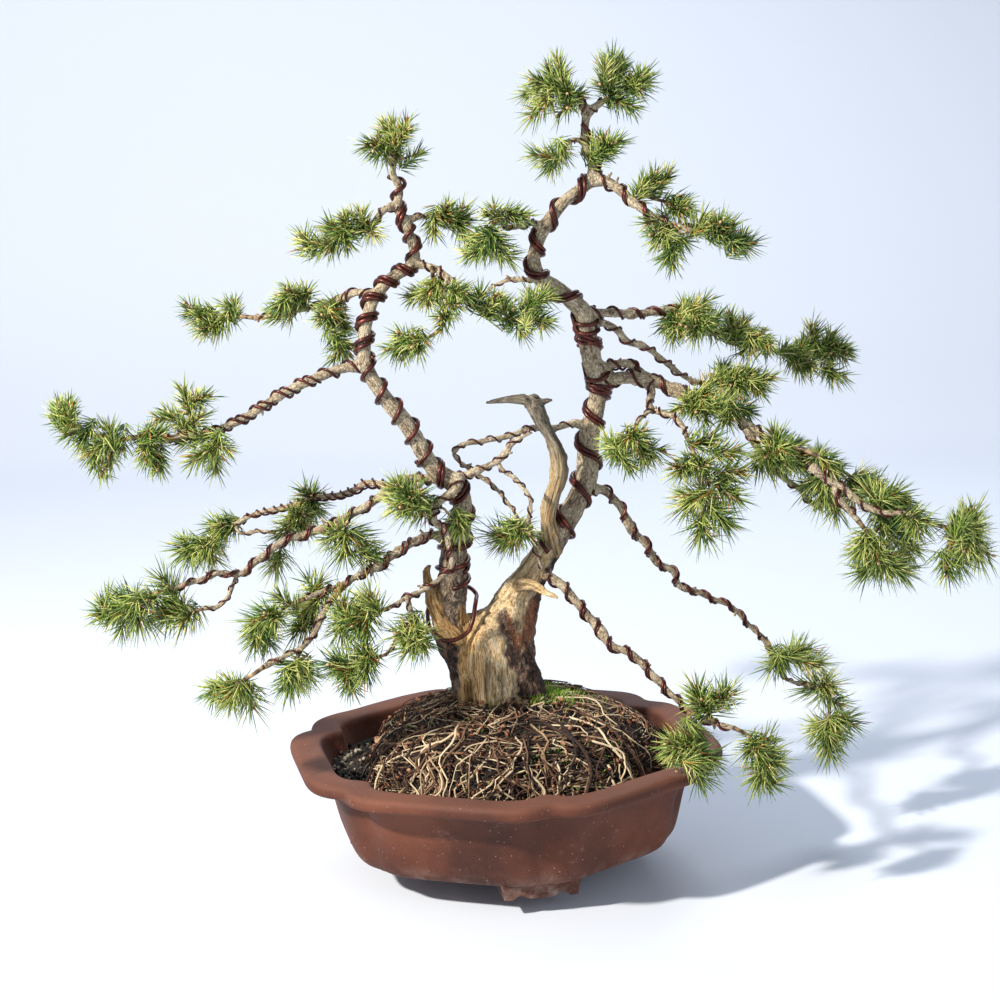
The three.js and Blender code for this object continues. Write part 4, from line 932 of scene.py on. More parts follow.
parts = [branch_part(i, limbs[name]) for i, name in enumerate(BRANCHES)]
parts += [spur_part(limbs[name], 90 + i) for i, name in enumerate(BRANCHES)]
points, faces, layers = gathered(parts)
flat = np.zeros(len(points))
add_piece("branches", points, faces, WOOD, dead=flat, silver=flat, rust=flat,
          age=0.3 * ramp(500, 300, points[:, 2]), **layers)
print("branches:", len(points), "points in", len(BRANCHES), "limbs")

# %% [markdown]
# Nearly every limb is wound with training wire, which is what lets the branches be bent. A wire is
# a helix: at the angle a it stands radius * (cos a * side + sin a * third) from the axis. A real
# wire never crosses a branch, it goes behind it. So at each branch that leaves the limb the angle
# is fixed to the far side from it, and between those knots the turns quicken or slow a little.
# Last, its points are pushed out of any other limb they touch.

# %% Wires
PER_TURN = 16                # points of a wire in each turn
NEARBY = 90                  # mm, beyond which no limb can touch a wire


def cloud(skip=()):
    """Centres and radii of all limbs but these, as balls."""
    kept = [limb for name, limb in limbs.items() if name not in skip]
    return [np.concatenate([limb[part] for limb in kept]) for part in ("axis", "radius")]


def pushed_clear(points, centres, radii, clearance, rounds=6):
    """Each point moved straight away from the ball that it lies deepest in, a few times over."""
    near = np.all((centres > points.min(0) - NEARBY) & (centres < points.max(0) + NEARBY), axis=1)
    centres, radii = centres[near], radii[near]
    points = points.copy()
    for _ in range(rounds):
        away = points[:, None] - centres[None]
        distance = np.linalg.norm(away, axis=2)
        short = radii + clearance - distance
        worst = np.argmax(short, axis=1)
        i = np.arange(len(points))
        push = np.maximum(short[i, worst], 0) / np.maximum(distance[i, worst], 1e-6)
        points += away[i, worst] * push[:, None]
    return points


def side_branches(name, reach):
    """Where each other limb leaves this one: how far along, and at which angle round it. A limb counts
    if some point of its axis lies just over reach outside this one's surface."""
    limb = limbs[name]
    _, side, third = framed(limb["axis"])
    found = []
    for other, branch in limbs.items():
        if other in (name, "flare", "saddle"):
            continue
        gaps = np.linalg.norm(branch["axis"][:, None] - limb["axis"][None], axis=2)
        nearest = gaps.argmin(1)
        clear = gaps.min(1) - limb["radius"][nearest]
        outside = np.flatnonzero(clear > reach)
        if len(outside) and clear[outside[0]] < 3 * reach + 4:
            row = nearest[outside[0]]
            away = branch["axis"][outside[0]] - limb["axis"][row]
            found.append((limb["along"][row], math.atan2(away @ third[row], away @ side[row])))
    return sorted(found)


def wound(name, wire, pitch, start=0.0, end=1.0, first=0.0, shift=0.0, hand=1):
    """The points of a wire round a limb, from start to end, each 0 to 1 along it. first is the angle
    it starts at, shift moves it along in mm, and hand is -1 where it winds the other way."""
    limb = limbs[name]
    length = limb["along"][-1]
    knots = [(start * length, first)]
    for along, angle in side_branches(name, 2 * wire):
        behind = hand * angle + np.pi
        wanted = knots[-1][1] + TURN * (along - knots[-1][0]) / pitch
        if start * length + 4 < along < end * length - 4 and wanted - knots[-1][1] > 1:
            knots.append((along, behind + TURN * round((wanted - behind) / TURN)))
    knots.append((end * length, knots[-1][1] + TURN * (end * length - knots[-1][0]) / pitch))
    places, angles = np.array(knots).T
    angles = np.maximum.accumulate(angles + 1e-6 * np.arange(len(angles)))
    turn = np.linspace(angles[0], angles[-1], int((angles[-1] - angles[0]) / TURN * PER_TURN) + 2)
    place = np.interp(turn, angles, places) + shift

    def here(values):
        """The limb's rows of three, at the places of the wire's points."""
        return np.stack([np.interp(place, limb["along"], column) for column in values.T], -1)

    _, side, third = framed(limb["axis"])
    slimmer = SLIMMER if name in BRANCHES else 1.0
    radius = slimmer * np.interp(place + 1.5, limb["along"], limb["radius"])
    loose = 0.5 * wire * np.maximum(noise(np.stack([place / 17, 0 * place, 0 * place + wire], -1), 19), 0)
    reach = (radius + 0.75 * wire + 0.3 + loose)[:, None]
    out = np.cos(turn)[:, None] * unit(here(side)) + hand * np.sin(turn)[:, None] * unit(here(third))
    return pushed_clear(here(limb["axis"]) + reach * out, *cloud([name]), 0.7 * wire)


def wire_part(points, radius, sides=6):
    """A tube through the points, whose rings follow it with a frame that turns as little as it can."""
    tangent = unit(np.gradient(points, axis=0))
    side = np.empty_like(tangent)
    side[0] = unit(np.cross(tangent[0], (0.3, 0.5, 0.81)))
    for i in range(1, len(points)):
        across = side[i - 1] - (side[i - 1] @ tangent[i]) * tangent[i]
        side[i] = across / np.linalg.norm(across)
    made, faces, _, _, _ = tubes(points[None], np.full((1, len(points)), radius), sides, side)
    return made, faces, {}


def wire_material():
    wire = Finish("wire", "wire", Metallic=0.75, Specular_IOR_Level=0.6, Coat_Weight=0.3,
                  Coat_Roughness=0.25)
    where = wire.in_space()
    worn = wire.grain(where, 90.0, 4.0, 0.65)
    dust = wire.grain(where, 500.0, 3.0, 0.6)
    colour = wire.ramp(worn * 0.75 + dust * 0.25,
                       (0.3, "#26100b"), (0.5, "#4d2018"), (0.62, "#6e3328"), (0.75, "#a08070"))
    wire.bump(dust, 0.0002)
    return wire.finish(colour, 0.3 + dust * 0.3)


WIRE = wire_material()
TRUNK_WIRE = 2.7             # radius, mm
# Each trunk has a long wire and shorter ones that lie beside it or make a close coil
TRUNK_COILS = {
    "left_trunk": [dict(pitch=30, start=0.17, end=0.98),
                   dict(pitch=30, start=0.19, end=0.42, shift=5.5, first=0.8),
                   dict(pitch=24, start=0.62, end=0.93, shift=5.5, first=1.0)],
    "right_trunk": [dict(pitch=40, start=0.2, end=0.98, hand=-1),
                    dict(pitch=40, start=0.24, end=0.9, shift=5.6, hand=-1),
                    dict(pitch=12, start=0.555, end=0.61, first=2.0, hand=-1),
                    dict(pitch=9, start=0.475, end=0.505, first=4.0, hand=-1)]}
LOOP_CENTRE = (-86, 7, 303)
LOOP_RADIUS = 32
LOOP_TILT = 30               # mm that its back stands above the middle, and its front below
LOOP_RISE = 7                # mm that one end lies below and the other above
LOOP_START, LOOP_SWEEP = 140, -380   # degrees
WIRE_SHARE = 0.36            # the radius of a branch's wire, as a share of the branch's own,
WIRE_LIMITS = (0.9, 1.9)     # but never outside these, mm
THICK_BRANCH = 4.3           # mm of radius; thicker branches have a second, thinner wire

turns = np.linspace(0, 1, 90)
bend = np.radians(LOOP_START + LOOP_SWEEP * turns)
height = LOOP_TILT * np.sin(bend + 0.3) + LOOP_RISE * (2 * turns - 1)
loop = np.stack([LOOP_RADIUS * np.cos(bend), LOOP_RADIUS * np.sin(bend), height], -1) + LOOP_CENTRE
trunk_wires = {name + "_wire": [wound(name, TRUNK_WIRE, **coil) for coil in coils]
               for name, coils in TRUNK_COILS.items()}
trunk_wires["anchor_loop_wire"] = [pushed_clear(loop, *cloud(), 0.8 * TRUNK_WIRE)]
for name, lines in trunk_wires.items():
    points, faces, _ = gathered([wire_part(line, TRUNK_WIRE) for line in lines])
    add_piece(name + "_wound", points, faces, WIRE, [name])

branch_wires = []
for index, name in enumerate(BRANCHES):
    thick = limbs[name]["radius"].mean()
    wire = float(np.clip(WIRE_SHARE * thick, *WIRE_LIMITS))
    common = dict(pitch=13 + 3.2 * thick, first=float(index), hand=1 if index % 4 else -1)
    branch_wires.append(wire_part(wound(name, wire, start=0.03, end=0.98, **common), wire, 5))
    if thick > THICK_BRANCH:
        line = wound(name, 0.8 * wire, start=0.2, end=0.9, shift=2 * wire, **common)
        branch_wires.append(wire_part(line, 0.8 * wire, 5))
points, faces, _ = gathered(branch_wires)
add_piece("branch_wires", points, faces, WIRE)
print("wires:", len(trunk_wires) + len(branch_wires), "with", len(points), "points on the branches")

# %% [markdown]
# Each spray has a stem that carries on from a branch, and tufts of needles, given by where the
# heart of each is seen and how far it lies behind the stem. The first tuft ends the stem, and
# every other sits on a twig from the nearest point of it. Of the tufts under "more" only the
# place is known, and how far each lies behind the stem is drawn at random.

# %% Sprays
SPRAYS = {
    "left_crown": dict(
        stem=[(-140, 850), (-139, 862), (-148, 872)],
        depths=[20, 12], thick=4,
        tufts=[(-174, 874, -12), (-145, 892, 14), (-119, 893, -14), (-105, 862, 8)],
        more=[(-137, 900), (-136, 873), (-159, 859)]),
    "left_shoulder_spray": dict(
        stem=[(-186, 774), (-208, 768), (-228, 759)],
        depths=[-10, -34], thick=3.3,
        tufts=[(-250, 756, 0), (-220, 784, 14), (-194, 757, -14)],
        more=[(-252, 772), (-199, 792), (-177, 799), (-162, 770), (-215, 752)]),
    "gap_upper_spray": dict(
        stem=[(-93, 785), (-80, 785), (-68, 783)],
        depths=[30, 44], thick=2.8,
        tufts=[(-53, 787, 4), (-76, 798, -12), (-100, 772, -10)],
        more=[(-61, 768)]),
    "gap_long_inner": dict(
        stem=[(-98, 729), (-99, 712), (-106, 701)],
        depths=[-16, 12], thick=2.8,
        tufts=[(-127, 692, 8), (-88, 692, -12)],
        more=[(-108, 689)]),
    "gap_drop_spray": dict(
        stem=[(-84, 682), (-90, 656), (-104, 646), (-122, 641)],
        depths=[-40, -54], thick=2.4,
        tufts=[(-140, 638, 4), (-118, 626, -12), (-68, 684, -14)],
        more=[(-59, 701), (-90, 670), (-131, 631), (-150, 629)]),
    "gap_long_tip": dict(
        stem=[(-33, 669), (-12, 664), (8, 664), (24, 664)],
        depths=[-45, -62], thick=2.9,
        tufts=[(42, 660, -4), (6, 642, -8), (24, 692, 8)],
        more=[(-19, 692), (-7, 675), (14, 665), (34, 699), (-45, 698), (-31, 686)]),
    "left_upper_inner": dict(
        stem=[(-216, 690), (-218, 676), (-220, 660), (-214, 644)],
        depths=[25, 0], thick=3,
        tufts=[(-206, 622, -6), (-236, 674, -14), (-200, 662, 12)],
        more=[(-227, 687), (-218, 665), (-210, 641)]),
    "left_upper_mid": dict(
        stem=[(-262, 682), (-264, 692), (-262, 700)],
        depths=[52, 34], thick=2.8,
        tufts=[(-276, 704, -10), (-246, 704, 10), (-288, 684, -18)],
        more=[(-294, 673), (-274, 691)]),
    "left_upper_tip": dict(
        stem=[(-312, 674), (-336, 677), (-366, 680)],
        depths=[85, 106], thick=3.2,
        tufts=[(-394, 682, 2), (-372, 656, -16), (-334, 696, 10)],
        more=[(-378, 673), (-351, 663)]),
    "left_arm_tip": dict(
        stem=[(-489, 534), (-515, 537), (-535, 545), (-547, 556)],
        depths=[-103, -122], thick=3,
        tufts=[(-560, 564, 2), (-538, 577, -12), (-548, 536, 12)],
        more=[(-553, 574), (-529, 531), (-494, 545)]),
    "left_arm_under": dict(
        stem=[(-452, 534), (-470, 532), (-490, 528)],
        depths=[-95, -106], thick=3.6,
        tufts=[(-524, 514, -8), (-494, 502, 14), (-450, 502, -10)],
        more=[(-510, 516), (-479, 518), (-509, 494), (-434, 491), (-447, 529), (-432, 537)]),
    "left_arm_up": dict(
        stem=[(-391, 534), (-395, 552), (-398, 568)],
        depths=[-86, -74], thick=3,
        tufts=[(-404, 592, 2), (-380, 580, -12), (-430, 560, 8)],
        more=[(-385, 553), (-411, 522)]),
    "left_arm_low": dict(
        stem=[(-368, 539), (-370, 526), (-376, 514)],
        depths=[-80, -96], thick=3,
        tufts=[(-396, 502, -8), (-368, 494, 8), (-346, 514, -8)],
        more=[(-371, 521)]),
    "left_back_mid": dict(
        stem=[(-262, 449), (-268, 438), (-278, 424)],
        depths=[86, 66], thick=2.7,
        tufts=[(-290, 404, -4), (-248, 436, 14), (-262, 414, -12)],
        more=[(-251, 457), (-266, 434), (-304, 364)]),
    "left_back_tip": dict(
        stem=[(-346, 423), (-362, 414), (-384, 402)],
        depths=[130, 138], thick=2.8,
        tufts=[(-418, 390, -4), (-366, 424, -14), (-384, 380, 10)],
        more=[(-365, 415), (-377, 400), (-403, 381)]),
    "left_long_tip": dict(
        stem=[(-432, 343), (-456, 336), (-478, 326), (-498, 318)],
        depths=[-85, -100], thick=3.2,
        tufts=[(-524, 314, -2), (-496, 338, 14), (-494, 288, -8)],
        more=[(-516, 331), (-505, 308), (-481, 330), (-472, 297), (-441, 360), (-457, 329)]),
    "left_long_mid": dict(
        stem=[(-393, 317), (-408, 314), (-426, 314)],
        depths=[-84, -80], thick=2.3,
        tufts=[(-446, 312, 0), (-412, 300, -10), (-430, 332, 12)],
        more=[]),
    "left_long_inner": dict(
        stem=[(-226, 421), (-222, 408), (-216, 396)],
        depths=[-38, -60], thick=3,
        tufts=[(-218, 377, -4), (-240, 398, -8), (-184, 394, 10)],
        more=[(-209, 409), (-175, 378)]),
    "left_hook_start": dict(
        stem=[(-104, 441), (-120, 442), (-134, 446)],
        depths=[-44, -60], thick=2.8,
        tufts=[(-150, 458, 2), (-150, 434, -10), (-122, 426, 8)],
        more=[(-149, 467), (-132, 449), (-69, 405)]),
    "left_hook_tip": dict(
        stem=[(-166, 311), (-184, 307), (-204, 303)],
        depths=[-98, -108], thick=2.9,
        tufts=[(-226, 300, 0), (-196, 330, 12), (-194, 280, -10)],
        more=[(-225, 317), (-209, 300), (-227, 280), (-187, 333)]),
    "left_hook_low": dict(
        stem=[(-141, 288), (-134, 280), (-130, 270)],
        depths=[-102, -112], thick=2.2,
        tufts=[(-128, 262, 0), (-148, 272, -12)],
        more=[(-148, 288), (-126, 278), (-140, 263)]),
    "left_hook_far": dict(
        stem=[(-170, 253), (-188, 247), (-210, 240)],
        depths=[-118, -132], thick=2.5,
        tufts=[(-230, 236, 0), (-204, 262, 12), (-194, 224, -12)],
        more=[(-217, 208), (-236, 247)]),
    "left_low_tip": dict(
        stem=[(-268, 326), (-288, 318), (-308, 306)],
        depths=[-105, -122], thick=3,
        tufts=[(-334, 296, 0), (-304, 300, -20), (-314, 270, 10)],
        more=[(-300, 334), (-323, 288), (-334, 268)]),
    "left_low_mid": dict(
        stem=[(-240, 337), (-250, 336), (-258, 328)],
        depths=[-94, -64], thick=2.4,
        tufts=[(-270, 300, -2), (-250, 352, 12)],
        more=[(-273, 287), (-261, 312)]),
    "left_skirt_tip": dict(
        stem=[(-322, 241), (-342, 228), (-364, 216)],
        depths=[-150, -166], thick=2.9,
        tufts=[(-390, 212, 2), (-364, 192, -12), (-344, 198, 14)],
        more=[(-364, 212), (-387, 202)]),
    "left_skirt_low": dict(
        stem=[(-276, 263), (-282, 248), (-288, 232)],
        depths=[-128, -142], thick=2.4,
        tufts=[(-296, 212, -2), (-262, 230, 10)],
        more=[(-292, 242), (-276, 220)]),
    "cross_tip": dict(
        stem=[(-4, 422), (-2, 410), (-8, 400)],
        depths=[-4, -8], thick=2.1,
        tufts=[(-12, 386, -2), (-24, 406, 8), (8, 402, -8)],
        more=[(-31, 394)]),
    "crown_left": dict(
        stem=[(70, 925), (60, 930), (50, 936)],
        depths=[-4, -14], thick=3.4,
        tufts=[(28, 944, 0), (60, 963, 10), (34, 914, -10), (68, 908, -16)],
        more=[(49, 952), (70, 926), (85, 927), (14, 924), (24, 898)]),
    "crown_right": dict(
        stem=[(109, 918), (122, 926), (136, 934)],
        depths=[14, 22], thick=3.4,
        tufts=[(158, 940, 2), (106, 962, -12), (128, 966, 14), (138, 908, -14)],
        more=[(117, 968), (149, 948), (151, 927), (115, 937)]),
    "neck_left_spray": dict(
        stem=[(61, 861), (52, 856), (40, 855)],
        depths=[-16, -24], thick=2.3,
        tufts=[(22, 858, 0), (46, 838, 8)],
        more=[(61, 856)]),
    "neck_right_spray": dict(
        stem=[(92, 858), (103, 860), (114, 865)],
        depths=[4, -12], thick=2.6,
        tufts=[(129, 873, 0), (104, 876, -12)],
        more=[(103, 865), (117, 856)]),
    "inner_upper_spray": dict(
        stem=[(-18, 783), (-26, 776), (-32, 762)],
        depths=[-44, -58], thick=2.7,
        tufts=[(-36, 744, 0), (-34, 794, 8), (-10, 752, -12)],
        more=[(13, 788), (-48, 762), (-60, 741), (-3, 737)]),
    "right_shoulder_up": dict(
        stem=[(140, 802), (156, 806), (176, 800)],
        depths=[-14, 6], thick=2.8,
        tufts=[(208, 796, 2), (154, 828, -10), (180, 832, 12)],
        more=[(167, 828), (197, 781)]),
    "right_shoulder_low": dict(
        stem=[(182, 774), (182, 762), (184, 750)],
        depths=[-29, -44], thick=2.9,
        tufts=[(190, 736, 0), (160, 764, -10), (206, 752, 12)],
        more=[(155, 776), (168, 754), (178, 728)]),
    "right_shoulder_tip": dict(
        stem=[(212, 764), (232, 762), (254, 754)],
        depths=[-40, -52], thick=3.4,
        tufts=[(275, 744, 0), (224, 784, 14), (248, 776, -14)],
        more=[(237, 774), (253, 764), (272, 755)]),
    "right_upper_inner": dict(
        stem=[(196, 668), (208, 668), (220, 662)],
        depths=[66, 48], thick=3,
        tufts=[(228, 652, -4), (200, 682, 12), (190, 644, -14)],
        more=[(185, 633), (215, 647), (224, 677), (174, 653), (226, 674), (246, 659), (186, 651),
              (210, 636), (234, 645)]),
    "right_upper_mid": dict(
        stem=[(256, 637), (272, 638), (288, 632)],
        depths=[90, 70], thick=2.8,
        tufts=[(304, 624, 0), (256, 660, 8), (278, 614, -10)],
        more=[(265, 648), (286, 634), (270, 649), (306, 621), (265, 635)]),
    "right_upper_tip": dict(
        stem=[(322, 616), (344, 618), (368, 618)],
        depths=[118, 132], thick=3,
        tufts=[(396, 619, 2), (352, 592, -12), (358, 642, 10)],
        more=[(341, 627), (357, 606), (374, 631), (338, 592), (381, 578), (330, 618), (378, 624),
              (395, 614)]),
    "right_middle_spray": dict(
        stem=[(224, 580), (244, 584), (266, 584)],
        depths=[66, 60], thick=3,
        tufts=[(294, 581, 0), (246, 600, 12), (268, 568, -12)],
        more=[(240, 590), (265, 597), (309, 587), (274, 590), (294, 573), (256, 578)]),
    "right_arm_inner": dict(
        stem=[(208, 566), (220, 560), (232, 552)],
        depths=[6, -24], thick=3.2,
        tufts=[(258, 552, 2), (204, 546, -14), (228, 572, 10)],
        more=[(193, 549), (227, 558), (244, 565), (282, 544), (253, 530), (224, 531)]),
    "right_arm_mid": dict(
        stem=[(318, 501), (334, 500), (354, 492)],
        depths=[-40, -62], thick=3.2,
        behind=(14, 30),
        tufts=[(384, 474, 18), (312, 516, 26), (330, 478, 16)],
        more=[(356, 489), (285, 475), (337, 501), (311, 508), (353, 486), (388, 468), (358, 455),
              (340, 474), (428, 453), (410, 436), (454, 402), (310, 472), (331, 481), (347, 446),
              (367, 431), (387, 418), (292, 491)]),
    "right_arm_end_mid": dict(
        stem=[(424, 422), (436, 430), (446, 436)],
        depths=[-82, -70], thick=3,
        behind=(14, 30),
        tufts=[(460, 440, 14), (420, 448, 12), (474, 414, 24)],
        more=[(438, 444), (449, 407), (451, 380), (482, 388), (473, 360)]),
    "right_arm_end_tip": dict(
        stem=[(486, 408), (505, 399), (530, 394)],
        depths=[-112, -122], thick=3.1,
        tufts=[(558, 392, 2), (540, 410, 12), (550, 364, -8)],
        more=[(480, 395), (538, 399), (555, 406), (539, 374), (534, 345), (535, 400), (544, 372),
              (561, 353), (523, 336)]),
    "right_arm_low_tip": dict(
        stem=[(412, 406), (424, 390), (436, 370)],
        depths=[-92, -100], thick=3.2,
        tufts=[(446, 348, -4), (408, 366, 10), (466, 350, 8)],
        more=[(427, 357), (415, 339), (411, 367), (429, 341), (470, 340)]),
    "right_fall_spray": dict(
        stem=[(203, 516), (210, 500), (218, 470), (222, 440), (221, 410)],
        depths=[-70, -96], thick=3,
        tufts=[(218, 388, 0), (190, 474, -14), (254, 462, 10), (196, 430, 10)],
        more=[(219, 479), (199, 440), (238, 432), (221, 407), (265, 444), (253, 411), (219, 475),
              (270, 473), (206, 438), (234, 511), (261, 496)]),
    "right_fall_side_spray": dict(
        stem=[(142, 533), (134, 520), (124, 508)],
        depths=[-56, -72], thick=2.5,
        tufts=[(112, 496, 0), (104, 518, 8), (154, 492, -8)],
        more=[(121, 499), (146, 513), (164, 491), (134, 479)]),
    "right_long_inner": dict(
        stem=[(300, 258), (308, 246), (330, 236)],
        depths=[84, 68], thick=2.9,
        tufts=[(366, 222, 0), (312, 220, -14), (340, 246, 12)],
        more=[(321, 232)]),
    "right_long_tip": dict(
        stem=[(368, 192), (378, 176), (376, 150)],
        depths=[78, 70], thick=2.4,
        tufts=[(374, 112, 0), (396, 174, -8), (356, 142, 10), (394, 140, 10)],
        more=[(348, 197), (379, 202), (382, 132), (404, 152)]),
    "right_low_inner": dict(
        stem=[(236, 153), (228, 164), (218, 180)],
        depths=[-148, -132], thick=2.6,
        tufts=[(211, 202, 2), (244, 190, -8)],
        more=[(221, 182), (254, 195)]),
    "right_low_hang": dict(
        stem=[(212, 163), (209, 142), (208, 118), (210, 96)],
        depths=[-128, -158], thick=2.6,
        tufts=[(216, 72, -2), (182, 126, -10), (232, 108, -12)],
        more=[(211, 144), (194, 129), (185, 95), (218, 104), (174, 117)]),
    "right_low_tip": dict(
        stem=[(259, 146), (276, 136), (290, 118), (298, 100)],
        depths=[-165, -172], thick=2.9,
        tufts=[(300, 74, 0), (274, 112, -10), (312, 116, 10)],
        more=[(298, 122), (317, 102), (289, 82), (312, 68)]),
}
BEHIND = (-14, 15)           # mm that a further tuft may lie behind its stem
tufts = sum(len(spray["tufts"] + spray["more"]) for spray in SPRAYS.values())
print("sprays:", len(SPRAYS), " tufts:", tufts)

# %% [markdown]
# Pine needles grow in pairs from the last years' shoots: short ones lean forward at the tip, long
# ones stand off further back. They are placed up the shoot by the golden angle, as on the living
# plant, so that no two pairs shade each other. Each needle is seven points and ten triangles, bent
# once, because there are tens of thousands of them. Three numbers go with every point: share runs
# from root to tip, tone is drawn for each needle or twig, and kind is 0 on a green needle, 0.5 on
# a dry one, 1 on a twig and 2 on a bud.

# %% Needles
GOLDEN = np.pi * (3 - np.sqrt(5))
PAIRS = 34                   # for each tuft, and about half as many for each fork
SPREAD = 16                  # needles more or fewer; a fork only has more
NEEDLE_LENGTH = 22           # mm
LONGER = 1.3                 # how much longer they are on the low branches,
LONGER_BELOW = (520, 430)    # between these heights
NEEDLE_RADIUS = 0.8          # mm
NEEDLE_POINTS = 7
BEND = 0.6                   # where along a needle its middle ring stands
ODD_WAY = (0.31, 0.53, 0.79)     # hardly ever along a twig, so it gives a direction across it
LEAN_BACK, LEAN_TIP = 56, 22     # degrees off the shoot, at its back and at its tip
DRY = 0.03                   # share of needles that have turned brown, more of them far back
PULL = 7                     # how far a tuft's heart stays short of its mark, mm
SHOOT = 31                   # how much of a twig bears needles, mm
STEM_STEP = 5                # mm
TWIG_RINGS = 7
TWIG_RADII = (1.9, 1.3)      # mm, at its foot and its end
BUD_RADII = (1.3, 2.1, 1.8, 0.5)     # mm
FORKED = 0.75                # share of tufts with a second, smaller shoot
POT_CENTRE = (-28, 0)
POT_REACH, POT_ABOVE = 275, 150      # no needle ends within the pot's reach below this height
ROOM = np.array(cad_box) / MM + [[1.0] * 3, [-1.0] * 3]
rng = np.random.default_rng(7)
depth_draw = np.random.default_rng(71)


def needle_mesh(roots, directions, lengths, sag):
    """Root ring of three points, a middle ring, and a tip, bent down by sag. Worked out for all
    needles at once: root + u * length * direction + sag * u * u * down."""
    count = len(roots)
    side = unit(np.cross(directions, ODD_WAY))
    third = np.cross(directions, side)
    angle = TURN * np.arange(3) / 3
    around = np.cos(angle)[:, None] * side[:, None] + np.sin(angle)[:, None] * third[:, None]
    along = directions * lengths[:, None]
    drop = np.array([0, 0, -1.0]) * sag[:, None]
    middle = roots + BEND * along + BEND ** 2 * drop
    tip = roots + along + drop
    points = np.concatenate([roots[:, None] + NEEDLE_RADIUS * around,
                             middle[:, None] + 0.8 * NEEDLE_RADIUS * around, tip[:, None]], 1)
    quads = np.array([(0, 1, 4, 3), (1, 2, 5, 4), (2, 0, 3, 5)])
    triangles = np.array([(3, 4, 6), (4, 5, 6), (5, 3, 6), (0, 2, 1)])
    shift = NEEDLE_POINTS * np.arange(count)[:, None, None]
    faces = [(quads + shift).reshape(-1, 4), (triangles + shift).reshape(-1, 3)]
    share = np.tile([0.0] * 3 + [BEND] * 3 + [1.0], count)
    return points.reshape(-1, 3), faces, share


def in_the_way(tips):
    """Outside the room that the frame leaves, or down in the pot."""
    outside = np.any((tips < ROOM[0]) | (tips > ROOM[1]), axis=1)
    across = np.hypot(tips[:, 0] - POT_CENTRE[0], tips[:, 1])
    return outside | ((across < POT_REACH) & (tips[:, 2] < POT_ABOVE)) | (tips[:, 2] < 3)


def shoot_needles(hearts, axes, amounts):
    """Needles for all shoots of a spray at once. u runs along a shoot, and the lean from its axis
    falls with u * u. A needle that would end out of bounds is shortened, and left out if that
    doesn't help."""
    owner = np.repeat(np.arange(len(hearts)), amounts)
    number = np.concatenate([np.arange(n) for n in amounts])
    u = (number // 2 * 2 + 0.5) / np.repeat(amounts, amounts)
    spin = number // 2 * GOLDEN + (number % 2) * 0.35 + rng.normal(0, 0.12, len(u))
    lean = LEAN_BACK - (LEAN_BACK - LEAN_TIP) * u ** 2
    lean = np.radians(lean + rng.normal(0, 9, len(u)) + 6 * (number % 2))
    axis = axes[owner]
    side = unit(np.cross(axis, ODD_WAY))
    third = np.cross(axis, side)
    across = np.cos(spin)[:, None] * side + np.sin(spin)[:, None] * third
    direction = unit(np.cos(lean)[:, None] * axis + np.sin(lean)[:, None] * across + [0, 0, 0.06])
    roots = hearts[owner] + axis * (SHOOT * (u - 0.88))[:, None] + 1.2 * across
    length = NEEDLE_LENGTH * (1 + (LONGER - 1) * ramp(*LONGER_BELOW, roots[:, 2]))
    length = length * rng.uniform(0.7, 1.2, len(u)) * rng.uniform(0.85, 1.2, len(hearts))[owner]
    sag = length * rng.uniform(-0.02, 0.12, len(u))
    drop = [0, 0, 1] * sag[:, None]
    blocked = in_the_way(roots + direction * length[:, None] - drop)
    length = np.where(blocked, 0.6 * length, length)
    keep = ~in_the_way(roots + direction * length[:, None] - drop)
    tone = np.clip(0.5 + 0.2 * rng.normal(size=len(u)) + 0.3 * (rng.random(len(hearts))[owner] - 0.5), 0, 1)
    dry = (rng.random(len(u)) < DRY * (1.5 - u)).astype(float)
    points, faces, share = needle_mesh(roots[keep], direction[keep], length[keep], sag[keep])
    tone, dry = (np.repeat(values[keep], NEEDLE_POINTS) for values in (tone, dry))
    return points, faces, dict(share=share, tone=tone, kind=0.5 * dry)


def twig_tubes(lines, thick, thin, sides=6):
    """Twigs of a spray, all with as many rings, getting thinner."""
    lines = np.array(lines)
    rings = lines.shape[1]
    radii = np.broadcast_to(np.linspace(thick, thin, rings), lines.shape[:2])
    knobs = 1 + 0.22 * noise(lines / 4, 21)
    points, faces, tube, ring, _ = tubes(lines, radii * knobs, sides)
    tone = hashed(np.stack([tube, ring, ring], -1), 4)
    return points, faces, dict(share=ring / rings, tone=tone, kind=np.ones(len(points)))


def twig_towards(goal, stem):
    """A twig from a near point of the stem, best from its middle; its end, just short of the goal;
    and the direction in which its tuft will grow."""
    from_middle = np.abs(np.arange(len(stem)) - 0.5 * len(stem))
    foot = np.argmin(np.linalg.norm(stem - goal, axis=1) + 0.35 * from_middle)
    way = goal - stem[foot]
    heart = goal - min(PULL, 0.4 * np.linalg.norm(way)) * unit(way)
    way = heart - stem[foot]
    lift = np.array([0, 0, 0.16]) * np.linalg.norm(way)
    middle = stem[foot] + 0.5 * way + lift * rng.uniform(-0.8, 0.6)
    twig = curve(np.array([stem[foot], middle, heart]), np.linspace(0, 1, TWIG_RINGS))
    twig[1:-1] += rng.normal(0, 0.7, (TWIG_RINGS - 2, 3))
    onward = stem[min(foot + 3, len(stem) - 1)] - stem[foot]
    return twig, heart, unit(unit(heart - twig[-3]) + 0.5 * unit(onward))


def bud_tubes(tips, axes):
    """A pointed bud at the end of each shoot."""
    buds = np.linspace(tips, tips + 5 * axes, len(BUD_RADII)).transpose(1, 0, 2)
    points, faces, _, ring, _ = tubes(buds, np.broadcast_to(BUD_RADII, buds.shape[:2]), 6)
    flat = np.ones(len(points))
    return points, faces, dict(share=ring / 3, tone=0.5 * flat, kind=2 * flat)


